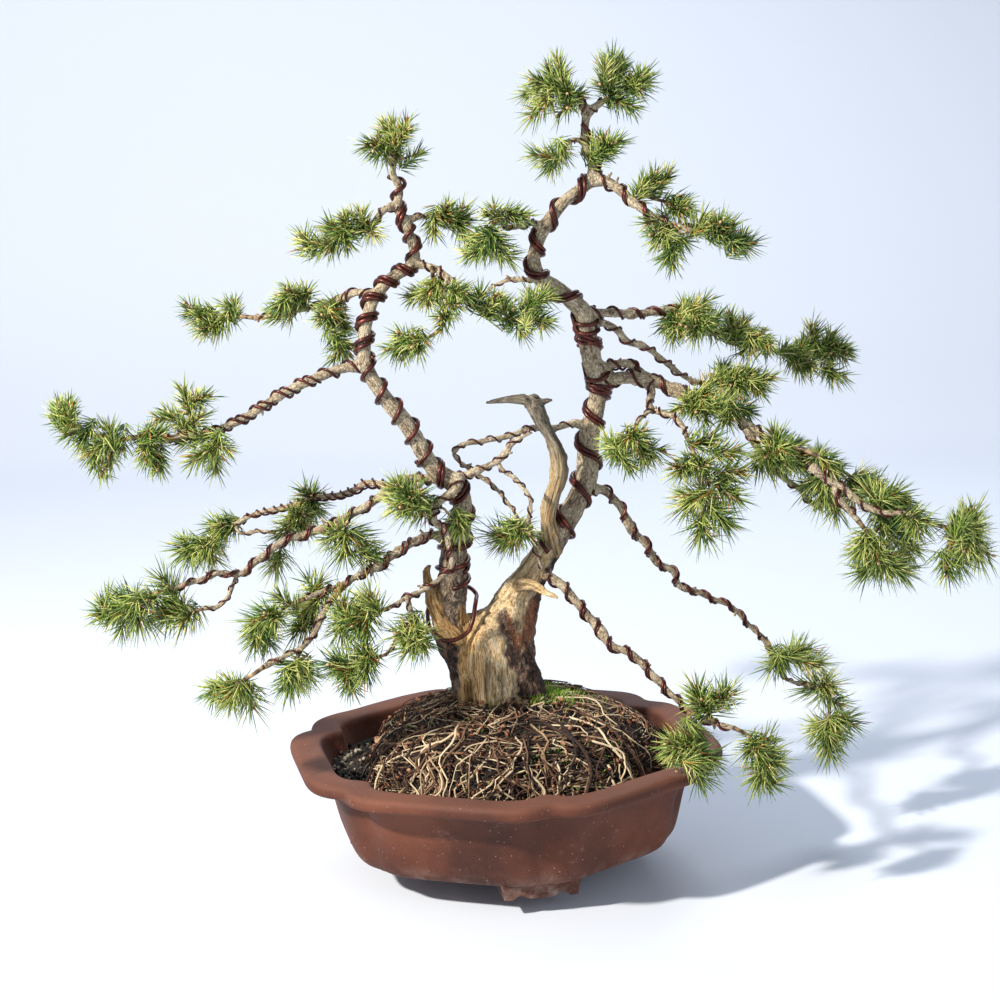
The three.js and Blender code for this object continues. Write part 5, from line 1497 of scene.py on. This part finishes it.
def spray_parts(spray):
    """Stem, twigs, buds and needles of one spray."""
    leader, *others = spray["tufts"]
    others += [(x, z, depth_draw.integers(*spray.get("behind", BEHIND))) for x, z in spray["more"]]
    depths = spray["depths"]
    end = seen([leader[:2]], [depths[1] + leader[2]])
    route = seen(spray["stem"], depths)
    route = np.concatenate([route, end - PULL * unit(end - route[-1])])
    stem, _, _ = resampled(route, STEM_STEP)
    goals = [seen([(x, z)], [sum(depths) / 2 + behind])[0] for x, z, behind in others]
    twigs = [twig_towards(goal, stem) for goal in goals]
    lines = [twig for twig, _, _ in twigs]
    hearts = np.array([stem[-1]] + [heart for _, heart, _ in twigs])
    axes = np.array([unit(stem[-1] - stem[-3])] + [axis for _, _, axis in twigs])

    forked = rng.random(len(hearts)) < FORKED
    turned = unit(axes[forked] + 0.9 * unit(rng.normal(size=(forked.sum(), 3))))
    feet = hearts[forked] - 12 * axes[forked]
    forks = hearts[forked] - 8 * axes[forked] + 15 * turned
    lines += [np.linspace(foot, heart, TWIG_RINGS) for foot, heart in zip(feet, forks)]
    amounts = np.concatenate([rng.integers(2 * PAIRS - SPREAD, 2 * PAIRS + SPREAD, len(hearts)),
                              rng.integers(PAIRS, PAIRS + SPREAD, len(forks))])
    hearts, axes = np.concatenate([hearts, forks]), np.concatenate([axes, turned])
    tips = hearts + 4 * axes
    lines += [np.linspace(heart - 2 * axis, tip, TWIG_RINGS) for heart, axis, tip in zip(hearts, axes, tips)]
    return [twig_tubes([stem], 0.95 * spray["thick"], TWIG_RADII[0], 8), twig_tubes(lines, *TWIG_RADII),
            shoot_needles(hearts, axes, amounts // 2 * 2), bud_tubes(tips, axes)]


def needle_material():
    green = Finish("needle", "needles", Roughness=0.45, Specular_IOR_Level=0.4)
    share = green.attribute("share")
    tone = green.attribute("tone")
    kind = green.attribute("kind")
    where = green.in_space()
    clump = green.grain(where, 22.0, 2.0)
    leaf = green.ramp(tone * 0.75 + clump * 0.35 - 0.05,
                      (0.12, "#1c3527"), (0.32, "#4c7033"), (0.52, "#90a449"), (0.78, "#dcd98c"))
    leaf = green.mix(green.step(share, 0.35, 0.0) * 0.4, leaf, "#8f9a4c")
    dry = green.mix(tone, "#8a4a20", "#c58a3e")
    bark = green.ramp(green.grain(where, 300.0, 4.0) * 0.6 + tone * 0.4,
                      (0.35, "#40301f"), (0.5, "#83694a"), (0.65, "#b59c74"))
    bud = green.mix(share, "#8a5a34", "#c9ac84")
    leaf = green.mix(green.step(kind, 0.2, 0.3), leaf, dry)
    leaf = green.mix(green.step(kind, 0.7, 0.8), leaf, bark)
    return green.finish(green.mix(green.step(kind, 1.4, 1.6), leaf, bud), 0.4 + tone * 0.2)


NEEDLE = needle_material()
needles = 0
for name, spray in SPRAYS.items():
    points, faces, layers = gathered(spray_parts(spray))
    add_piece(name + "_foliage", np.clip(points, *ROOM), faces, NEEDLE, [name], **layers)
    needles += int(np.sum(layers["kind"] < 0.7)) // NEEDLE_POINTS
print("needles:", needles)

# %% [markdown]
# The pot is one surface of two parameters, the angle round it and a place down its section. Seen
# from above it is a hexagon with a crease at each corner: reach = apothem / cos(turn) less a notch
# that fades like exp(-(d / width) ** 1.4) with the distance d from the corner, and is deepest at
# the rim. The section runs from the middle of the underside, out and up the wall, over the rim,
# and down to the floor inside.

# %% Pot
APOTHEM = 250                # mm from the axis to the middle of a side, at the rim
POT_TURN = -78               # degrees to the first corner
STRETCH = (1.04, 0.96)       # of the width and of the depth
NOTCH_DEPTH = 38             # mm, at the rim
NOTCH_LOW = 0.4              # its share of that depth at the foot of the wall
NOTCH_WIDTH = 29
RIM_TOP = 137
FLOOR_TOP = 34
# Millimetres in from the rim's outline, and height
SECTION = [(108, 12), (88, 12.5), (74, 15.5), (65, 20), (58, 29), (53.5, 43), (49.5, 60), (43.5, 84),
           (35, 103), (28, 114), (21, 118.5), (12, 120), (4, 120.7), (1.2, 123.5), (0.5, 128),
           (1.6, 133), (5, 136.2), (10, 137), (30, 137), (35, 135.6), (37.5, 132), (40, 124),
           (47, 108), (56, 88), (62, 66), (70, 51), (82, 41), (94, 36), (104, 34)]
SECTION_RINGS, INNER_RINGS = 76, 9
ROUND = 300                  # points in each ring


def outline(angle, inset, z):
    """The distance of the hexagon with creased corners from the pot's axis."""
    sector = np.pi / 3
    turn = np.mod(angle - np.radians(POT_TURN), sector)
    corner = np.minimum(turn, sector - turn) * APOTHEM / np.cos(sector / 2)
    depth = NOTCH_DEPTH * (NOTCH_LOW + (1 - NOTCH_LOW) * np.minimum(z / RIM_TOP, 1))
    notch = depth * np.exp(-(corner / NOTCH_WIDTH) ** 1.4)
    return (APOTHEM - inset) / np.cos(turn - sector / 2) - notch


def pot_points(angle, inset, z, shrink=1.0):
    reach = outline(angle, inset, z) * shrink
    return np.stack([POT_CENTRE[0] + STRETCH[0] * reach * np.cos(angle),
                     POT_CENTRE[1] + STRETCH[1] * reach * np.sin(angle), z + 0 * reach], -1)


def pot_body():
    """Rings round the section; at both ends the outline shrinks to a point and is closed by a fan."""
    section = np.array([(inset, height, 0) for inset, height in SECTION], float)
    section = curve(section, np.linspace(0, 1, SECTION_RINGS))
    inset, z = (np.pad(section[:, i], INNER_RINGS, mode="edge") for i in (0, 1))
    inner = np.linspace(0.12, 0.94, INNER_RINGS)
    shrink = np.concatenate([inner, np.ones(SECTION_RINGS), inner[::-1]])
    angle = TURN * np.arange(ROUND) / ROUND
    rings = pot_points(angle[None], inset[:, None], z[:, None], shrink[:, None])
    uneven = noise(rings / 60, 31, 2) * ramp(20, 40, rings[..., 2])
    rings[..., :2] *= 1 + 0.0022 * uneven[..., None]
    rings[..., 2] += 0.5 * noise(rings / 45, 33, 2) * ramp(100, 130, rings[..., 2])
    return ringed_solid(rings, (*POT_CENTRE, SECTION[0][1]), (*POT_CENTRE, FLOOR_TOP))


# The outline of a foot: millimetres to either side, and height
FOOT = [(-43, 0), (-34, 0), (-31, 2.7), (-28, 4.2), (-25, 4.4), (-22, 3.8), (-17, 1.2), (-13, 0.2),
        (-10, 0), (10, 0), (13, 0.2), (17, 1.2), (22, 3.8), (25, 4.4), (28, 4.2), (31, 2.7),
        (34, 0), (43, 0), (44, 5), (45, 10), (46, 15), (48, 21), (-48, 21), (-46, 15), (-45, 10), (-44, 5)]
FOOT_MIDDLE = (0, 16)        # what its end outlines are drawn in to
FOOT_TURNS = (-78, 42, 162)  # degrees
FOOT_FROM = 150              # mm from the pot's axis
FOOT_DEPTH = 37
HOLE_RADIUS = 17
HOLE_OFFSET = 95             # mm to either side of the pot's axis
SHARP = 38                   # degrees, from which an edge of the pot isn't smoothed


def foot_solid(degrees):
    """A bracket foot: the outline in FOOT, swept outwards under the wall. Its edges are rounded by
    drawing the end outlines in a little."""
    steps = [(0, 0.97), (2, 1), (FOOT_DEPTH - 3, 1), (FOOT_DEPTH - 0.8, 0.985), (FOOT_DEPTH, 0.96)]
    out = np.array([math.cos(math.radians(degrees)), math.sin(math.radians(degrees))])
    across = np.array([-out[1], out[0]])
    rings = []
    for depth, size in steps:
        flat = FOOT_MIDDLE + (np.array(FOOT) - FOOT_MIDDLE) * size
        spot = POT_CENTRE + STRETCH * ((FOOT_FROM + depth) * out + flat[:, :1] * across)
        rings.append(np.column_stack([spot, flat[:, 1]]))
    walls, _ = wall_faces(len(steps), len(FOOT))
    end = np.arange(len(FOOT))[None]
    return np.concatenate(rings), [walls, end[:, ::-1], end + len(FOOT) * (len(steps) - 1)]


def cut_and_joined(base, tools):
    """base with each (object, operation) applied by a Boolean, as a new mesh."""
    for tool, operation in tools:
        cut = base.modifiers.new("cut", "BOOLEAN")
        cut.object, cut.operation, cut.solver = tool, operation, "EXACT"
    result = evaluated(base)
    for used in [base] + [tool for tool, _ in tools]:
        bpy.data.objects.remove(used)
    return result


def clay_material():
    clay = Finish("clay", "stoneware", Specular_IOR_Level=0.35)
    where = clay.in_space()
    height = clay.node("SeparateXYZ", {0: where}, output="Z")
    clouds = clay.grain(where, 9.0, 4.0, 0.55)
    grit = clay.grain(where, 420.0, 3.0, 0.7)
    specks = clay.cells(where, 130.0)
    colour = clay.ramp(clouds * 0.8 + grit * 0.2, (0.35, "#3a1c13"), (0.5, "#542c1e"), (0.65, "#6b3d2b"))
    # Painted highlight: the top of the rim is mixed towards a lighter brown, as if lit from above.
    rim = clay.step(height, 0.128, 0.137) * 0.4
    colour = clay.mix(rim, colour, "#7f5646")
    scuffs = clay.step(clay.grain(where, 30.0, 6.0, 0.75), 0.58, 0.75) * 0.22
    colour = clay.mix(scuffs, colour, "#b09484")
    salts = clay.step(height, 0.045, 0.0) * clay.step(clay.grain(where, 26.0, 5.0, 0.7), 0.4, 0.7) * 0.5
    colour = clay.mix(salts, colour, "#b9a698")
    colour = clay.mix(clay.step(specks, 0.16, 0.1) * clay.step(grit, 0.5, 0.6) * 0.4, colour, "#c9b3a2")
    clay.bump(grit * 0.5 + clouds * 0.5, 0.0006)
    return clay.finish(colour, 0.62 + clouds * 0.2)


CLAY = clay_material()
tools = [(as_object(*foot_solid(degrees)), "UNION") for degrees in FOOT_TURNS]
for x in (POT_CENTRE[0] - HOLE_OFFSET, POT_CENTRE[0] + HOLE_OFFSET):
    hole = tubes(np.array([[(x, 0, 5), (x, 0, 50)]], float), np.full((1, 2), HOLE_RADIUS), 40)
    tools.append((as_object(*hole[:2]), "DIFFERENCE"))
pot_mesh = smoothed(cut_and_joined(as_object(*pot_body()), tools))
pot_mesh.set_sharp_from_angle(angle=math.radians(SHARP))
place("stoneware_pot", pot_mesh, CLAY, ["pot"])
print("pot:", len(pot_mesh.polygons), "faces")

# %% [markdown]
# The two squares of plastic mesh over the drain holes keep their CAD shape and only get a finish.

# %% Drain mesh
plastic = Finish("mesh_plastic", "mesh_plastic", Base_Color=tint("#22301f"), Roughness=0.5).material
for name in ("drain_mesh_left", "drain_mesh_right"):
    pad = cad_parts[name]
    pad.data.materials.clear()
    pad.data.materials.append(plastic)

# %% [markdown]
# The root ball stands out of the soil, so its shape matters: a low mound whose radius at each
# height is given as a share of its widest. Both it and the soil are surfaces in polar coordinates,
# roughened by noise, and then covered with single grains, pumice, chips of bark and roots.

# %% Root ball and soil
BALL_CENTRE = (-18, 4)
BALL_RADII = (180, 166)      # mm, across and from front to back
# Share of those radii, and height
BALL_ROWS = [(0.7, 62), (1.0, 92), (0.98, 124), (0.88, 152), (0.66, 175), (0.3, 190), (0.0, 196)]
MOUND_TOP = 192
MOUND_RINGS = 60
GROUND_ROUND = 220           # points in each ring of the mound and the soil
SOIL_TOP = 108
CAVITY = [(104, 35), (90, 39), (72, 50), (63, 66), (57, 88), (50, SOIL_TOP)]  # as in SECTION
SOIL_GAP = 0.3               # mm from the pot's wall and floor


def ball_points(angle, t, out=0.0):
    """The mound's surface, or out mm off it: t runs from 0 at its foot to 1 at the top, angle round."""
    rows = np.array([(share, z, 0) for share, z in BALL_ROWS], float)
    share, z = curve(rows, np.ravel(t))[:, :2].T
    share, z = share.reshape(np.shape(t)), z.reshape(np.shape(t))
    lump = 1 + 0.05 * np.cos(3 * angle + 1) * (1 - t) + 0.03 * np.cos(7 * angle)
    flat = np.stack([BALL_CENTRE[0] + BALL_RADII[0] * share * lump * np.cos(angle),
                     BALL_CENTRE[1] + BALL_RADII[1] * share * lump * np.sin(angle), z], -1)
    flatter = np.cos(1.4 * t)
    outward = np.stack([np.cos(angle) * flatter, np.sin(angle) * flatter, np.sin(1.4 * t)], -1)
    return flat + outward * np.asarray(out)[..., None]


def add_ground(name, node, seed, rings, low, high):
    """A solid of earth, whose tone changes every few millimetres."""
    points, faces = ringed_solid(rings, low, high)
    tone = np.clip(0.5 + 0.3 * noise(points / 7, seed, 2), 0, 1)
    add_piece(name, points, faces, EARTH, [node], tone=tone, kind=np.zeros(len(points)))


def ground_material():
    earth = Finish("earth", "soil", Roughness=0.95)
    where = earth.in_space()
    tone = earth.attribute("tone")
    kind = earth.attribute("kind")
    grit = earth.grain(where, 260.0, 4.0, 0.7)
    dark = earth.ramp(grit * 0.6 + tone * 0.4, (0.3, "#0c0806"), (0.5, "#211812"), (0.7, "#4a3a2d"))
    pumice = earth.ramp(grit * 0.5 + tone * 0.5, (0.3, "#5b5347"), (0.6, "#b5ac9c"))
    chip = earth.ramp(grit * 0.4 + tone * 0.6, (0.2, "#3d1f14"), (0.5, "#7f4a30"), (0.8, "#b98d6a"))
    colour = earth.mix(earth.step(kind, 0.4, 0.6), dark, pumice)
    colour = earth.mix(earth.step(kind, 1.4, 1.6), colour, chip)
    earth.bump(grit, 0.001)
    return earth.finish(colour, 0.9)


EARTH = ground_material()
angle = TURN * np.arange(GROUND_ROUND) / GROUND_ROUND
grid = np.meshgrid(angle, np.linspace(0, 0.985, MOUND_RINGS))
rings = ball_points(*grid)
rings = ball_points(*grid, 2.6 * noise(rings / 11, 41, 3) - 3.5)
add_ground("root_mound", "root_ball", 42, rings, (*BALL_CENTRE, BALL_ROWS[0][1]), (*BALL_CENTRE, MOUND_TOP))

inset, z = np.array(CAVITY, float).T + SOIL_GAP
rings = pot_points(angle[None], inset[:, None], z[:, None])
across = np.linspace(0.96, 0.05, 26)[:, None]
top = pot_points(angle[None], inset[-1], SOIL_TOP, across)
top[..., 2] += 2.5 * noise(top / 9, 44, 3) - 1.5
rings = np.concatenate([rings, top])
add_ground("soil_bed", "soil", 45, rings, (*POT_CENTRE, z[0]), (*POT_CENTRE, SOIL_TOP))
print("mound and soil made")

# %% [markdown]
# Nearly two thousand roots hang over the mound. Each is drawn in the mound's own two coordinates:
# it starts near the trunk, runs down, and wanders in angle by a slow noise, so that roots cross and
# lie on each other. There are four kinds, from a web of short fine ones to a few thick ones.

# %% Roots
LEAN = 0.7                   # how far the roots run askew
ROOT_FLOOR = 60              # mm; no root hangs lower
# start and fall are ranges of t, out and radii are in mm, and spread is in radians
ROOTS = [dict(seed=51, count=1250, start=(0.2, 0.97), fall=(-0.06, 0.18), wander=0.26, out=5, steps=7,
              radii=(0.72, 0.4), sides=3),
         dict(seed=54, count=460, start=(0.3, 0.97), fall=(0.0, 0.28), wander=0.2, out=8, steps=10,
              radii=(0.95, 0.5), sides=4),
         dict(seed=52, count=110, start=(0.4, 0.75), fall=(0.25, 0.6), wander=0.17, out=9, spread=1.1,
              radii=(1.3, 0.65), sides=6),
         dict(seed=53, count=4, start=(0.6, 0.8), fall=(0.5, 0.8), wander=0.15, out=9, spread=1.1,
              radii=(1.9, 1.1), sides=8)]


def root_lines(seed, count, start, fall, wander, out, steps=14, spread=np.pi):
    """Lines over the mound: t falls by a draw from fall while the angle wanders. They start within
    spread to either side of the front."""
    draw = np.random.default_rng(seed)
    angle0 = draw.uniform(-spread, spread, count)[:, None] - np.pi / 2
    t0 = draw.uniform(*start, count)[:, None]
    t1 = t0 - draw.uniform(*fall, count)[:, None]
    u = np.linspace(0, 1, steps)[None]
    t = np.clip(t0 + (t1 - t0) * u, 0.02, 0.97)
    slow = noise(np.stack(np.broadcast_arrays(2.5 * u, 9 * angle0, 5 * t0), -1), seed, 2)
    lean = draw.normal(0, LEAN, count)[:, None]
    angle = angle0 + (wander * slow + lean * u * wander) / (1.45 - t)
    height = out * draw.uniform(0.3, 1.0, count)[:, None] * (0.5 + 0.7 * np.sin(np.pi * u) ** 0.5) - 1.0
    bumps = noise(np.stack(np.broadcast_arrays(6 * u, 17 * angle0, 3 * t0), -1), seed + 5, 2)
    return ball_points(angle, t, height + 1.3 * bumps)


def root_part(seed, radii, sides, **course):
    """Tubes along lines with this course, with radii at their start and their end."""
    lines = root_lines(seed, **course)
    draw = np.random.default_rng(seed + 10)
    size = draw.uniform(0.6, 1.4, len(lines))[:, None]
    thick = size * np.linspace(*radii, lines.shape[1]) * (1 + 0.2 * noise(lines / 6, seed + 10))
    points, faces, tube, _, _ = tubes(lines, thick, sides)
    return points, faces, dict(tone=draw.random(len(lines))[tube])


def root_material():
    root = Finish("root", "roots", Roughness=0.8)
    where = root.in_space()
    tone = root.attribute("tone")
    grain = root.grain(where, 180.0, 4.0, 0.7)
    colour = root.ramp(tone * 0.6 + grain * 0.4,
                       (0.25, "#1a0e0a"), (0.43, "#4e3022"), (0.58, "#8d6e52"), (0.76, "#d9c6a4"))
    root.bump(grain, 0.0006)
    return root.finish(colour)


ROOT = root_material()
points, faces, layers = gathered([root_part(**kind) for kind in ROOTS])
points[:, 2] = np.maximum(points[:, 2], ROOT_FLOOR)
add_piece("roots", points, faces, ROOT, **layers)
print("roots:", sum(kind["count"] for kind in ROOTS))

# %% [markdown]
# Loose matter: grains of soil and pumice, and chips of bark. Each is the same small solid, turned
# and stretched at random; the twelve corners of an icosahedron are enough at this size.

# %% Grains
PHI = (1 + 5 ** 0.5) / 2
CORNERS = unit(np.array([(-1, PHI, 0), (1, PHI, 0), (-1, -PHI, 0), (1, -PHI, 0), (0, -1, PHI),
                         (0, 1, PHI), (0, -1, -PHI), (0, 1, -PHI), (PHI, 0, -1), (PHI, 0, 1),
                         (-PHI, 0, -1), (-PHI, 0, 1)]))
SIDES = np.array([(0, 11, 5), (0, 5, 1), (0, 1, 7), (0, 7, 10), (0, 10, 11), (1, 5, 9), (5, 11, 4),
                  (11, 10, 2), (10, 7, 6), (7, 1, 8), (3, 9, 4), (3, 4, 2), (3, 2, 6), (3, 6, 8),
                  (3, 8, 9), (4, 9, 5), (2, 4, 11), (6, 2, 10), (8, 6, 7), (9, 8, 1)])
ON_MOUND, ON_SOIL, CHIPS = 900, 1100, 800


def scattered(places, sizes, flatness, kinds, seed):
    """A stretched, dented and turned icosahedron at each place. Its kind is 0 for soil, 1 for pumice
    and 2 for a chip of bark."""
    draw = np.random.default_rng(seed)
    count = len(places)
    solid = CORNERS[None] * (1 + draw.uniform(-0.25, 0.25, (count, 12, 1)))
    solid = solid * flatness * sizes[:, None, None]
    turn = unit(draw.normal(size=(count, 3, 3)))
    first = turn[:, 0]
    second = unit(np.cross(first, turn[:, 1]))
    axes = np.stack([first, second, np.cross(first, second)], 1)
    points = places[:, None] + solid @ axes
    faces = (SIDES[None] + 12 * np.arange(count)[:, None, None]).reshape(-1, 3)
    tone = np.repeat(draw.random(count), 12)
    return points.reshape(-1, 3), [faces], dict(tone=tone, kind=np.repeat(kinds, 12))


def on_mound(count, heights, out):
    """Places drawn all over the mound, within these ranges of t and of mm off its surface."""
    angle, t = draw.uniform(0, TURN, count), draw.uniform(*heights, count)
    return ball_points(angle, t, draw.uniform(*out, count))


draw = np.random.default_rng(71)
places = on_mound(ON_MOUND, (0.1, 0.97), (-3, 2))
sizes, pumice = draw.uniform(1.2, 3.4, ON_MOUND), draw.random(ON_MOUND) < 0.16
parts = [scattered(places, sizes, (1, 1, 0.8), pumice, 72)]
angle, across = draw.uniform(0, TURN, ON_SOIL), np.sqrt(draw.uniform(0.35, 0.93, ON_SOIL))
places = pot_points(angle, 40.0, SOIL_TOP + draw.uniform(-1, 3, ON_SOIL), across)
sizes, pumice = draw.uniform(1.5, 4.2, ON_SOIL), draw.random(ON_SOIL) < 0.3
parts.append(scattered(places, sizes, (1, 0.9, 0.8), pumice, 73))
places = on_mound(CHIPS, (0.25, 0.97), (1, 7))
parts.append(scattered(places, draw.uniform(2.5, 6, CHIPS), (1, 0.5, 0.16), np.full(CHIPS, 2), 74))
points, faces, layers = gathered(parts)
add_piece("grains", points, faces, EARTH, **layers)
print("grains:", ON_MOUND + ON_SOIL + CHIPS)

# %% [markdown]
# Moss grows in a low cushion beside the trunk and in scraps elsewhere. It is made like the roots
# are: very many short pointed stems, standing away from the mound.

# %% Moss
# Angle and t of each patch, how far each spreads, and the number of stems
PATCHES = [(0.25, 0.84, 0.3, 0.05, 1100), (-0.45, 0.9, 0.2, 0.03, 260), (-2.3, 0.93, 0.2, 0.03, 130),
           (-1.3, 0.5, 0.3, 0.1, 60), (1.6, 0.8, 0.8, 0.06, 260)]


def moss_stems():
    draw = np.random.default_rng(81)
    angle = np.concatenate([draw.normal(a, s, n) for a, _, s, _, n in PATCHES])
    t = np.clip(np.concatenate([draw.normal(t, s, n) for _, t, _, s, n in PATCHES]), 0.03, 0.95)
    foot = ball_points(angle, t, np.full(len(t), -2.5))
    way = unit(ball_points(angle, t, np.full(len(t), 4.0)) - foot + draw.normal(0, 2.2, foot.shape))
    high = draw.uniform(8, 14, len(t))[:, None]
    lines = np.stack([foot, foot + way * high * 0.5, foot + way * high], 1)
    points, faces, tube, ring, _ = tubes(lines, np.broadcast_to([1.1, 1.0, 0.15], lines.shape[:2]), 4)
    return points, faces, dict(tone=draw.random(len(t))[tube], share=ring / 2)


def moss_material():
    moss = Finish("moss", "soil", Roughness=0.9)
    tone = moss.attribute("tone")
    colour = moss.ramp(tone * 0.5 + moss.attribute("share") * 0.5,
                       (0.1, "#17240c"), (0.5, "#4a701e"), (0.9, "#93ab42"))
    return moss.finish(colour)


points, faces, layers = moss_stems()
add_piece("moss", points, faces, moss_material(), **layers)
print("moss:", sum(p[4] for p in PATCHES), "stems")

# %% [markdown]
# The stage isn't part of the tree: a pale floor that curves up into a pale backdrop, a warm key
# lamp as the sun from the upper left in front, a wide soft fill from the right, a lamp at the rear
# and a soft sky.

# %% Stage and light
FLOOR_HALF = 4.0             # m
# The floor from front to back, as y and height in metres
SWEEP = [(-4.0, 0), (2.2, 0), (2.7, 0.06), (3.1, 0.3), (3.3, 0.8), (3.4, 4.5)]
STAGE_STEPS = 60

strip = curve(np.array([(y, z, 0) for y, z in SWEEP]), np.linspace(0, 1, STAGE_STEPS))
sides = [np.column_stack([np.full(STAGE_STEPS, x), strip[:, :2]]) for x in (-FLOOR_HALF, FLOOR_HALF)]
near = np.arange(STAGE_STEPS - 1)
faces = np.stack([near, near + STAGE_STEPS, near + STAGE_STEPS + 1, near + 1], -1)
stage_mesh = bpy.data.meshes.new("floor")
stage_mesh.from_pydata(np.concatenate(sides).tolist(), [], faces.tolist())
stage_mesh.materials.append(Finish("pale", "stage", Base_Color=tint("#dde4f0"), Roughness=0.95).material)
floor = bpy.data.objects.new("floor", smoothed(stage_mesh))
bpy.context.scene.collection.objects.link(floor)


def lamp(name, place, target, size, power, colour):
    light = bpy.data.lights.new(name, "AREA")
    light.shape, light.size, light.energy, light.color = "DISK", size, power, colour
    made = bpy.data.objects.new(name, light)
    made.location = place
    made.rotation_euler = (Vector(target) - Vector(place)).to_track_quat("-Z", "Y").to_euler()
    bpy.context.scene.collection.objects.link(made)


lamp("key", (-2.5, -1.9, 2.5), (0, 0, 0.4), 0.22, 250, (1.0, 0.94, 0.84))
lamp("fill", (2.4, -2.8, 1.6), (0, 0, 0.4), 2.2, 26, (0.84, 0.91, 1.0))
lamp("rear", (0.8, 2.0, 2.6), (0, 0, 0.5), 1.5, 34, (0.92, 0.96, 1.0))
world = bpy.data.worlds.new("sky")
world.use_nodes = True
world.node_tree.nodes["Background"].inputs["Color"].default_value = (0.78, 0.86, 1.0, 1.0)
world.node_tree.nodes["Background"].inputs["Strength"].default_value = 0.38
bpy.context.scene.world = world
bpy.context.scene.view_settings.view_transform = "Standard"
bpy.context.scene.view_settings.exposure = 0.0
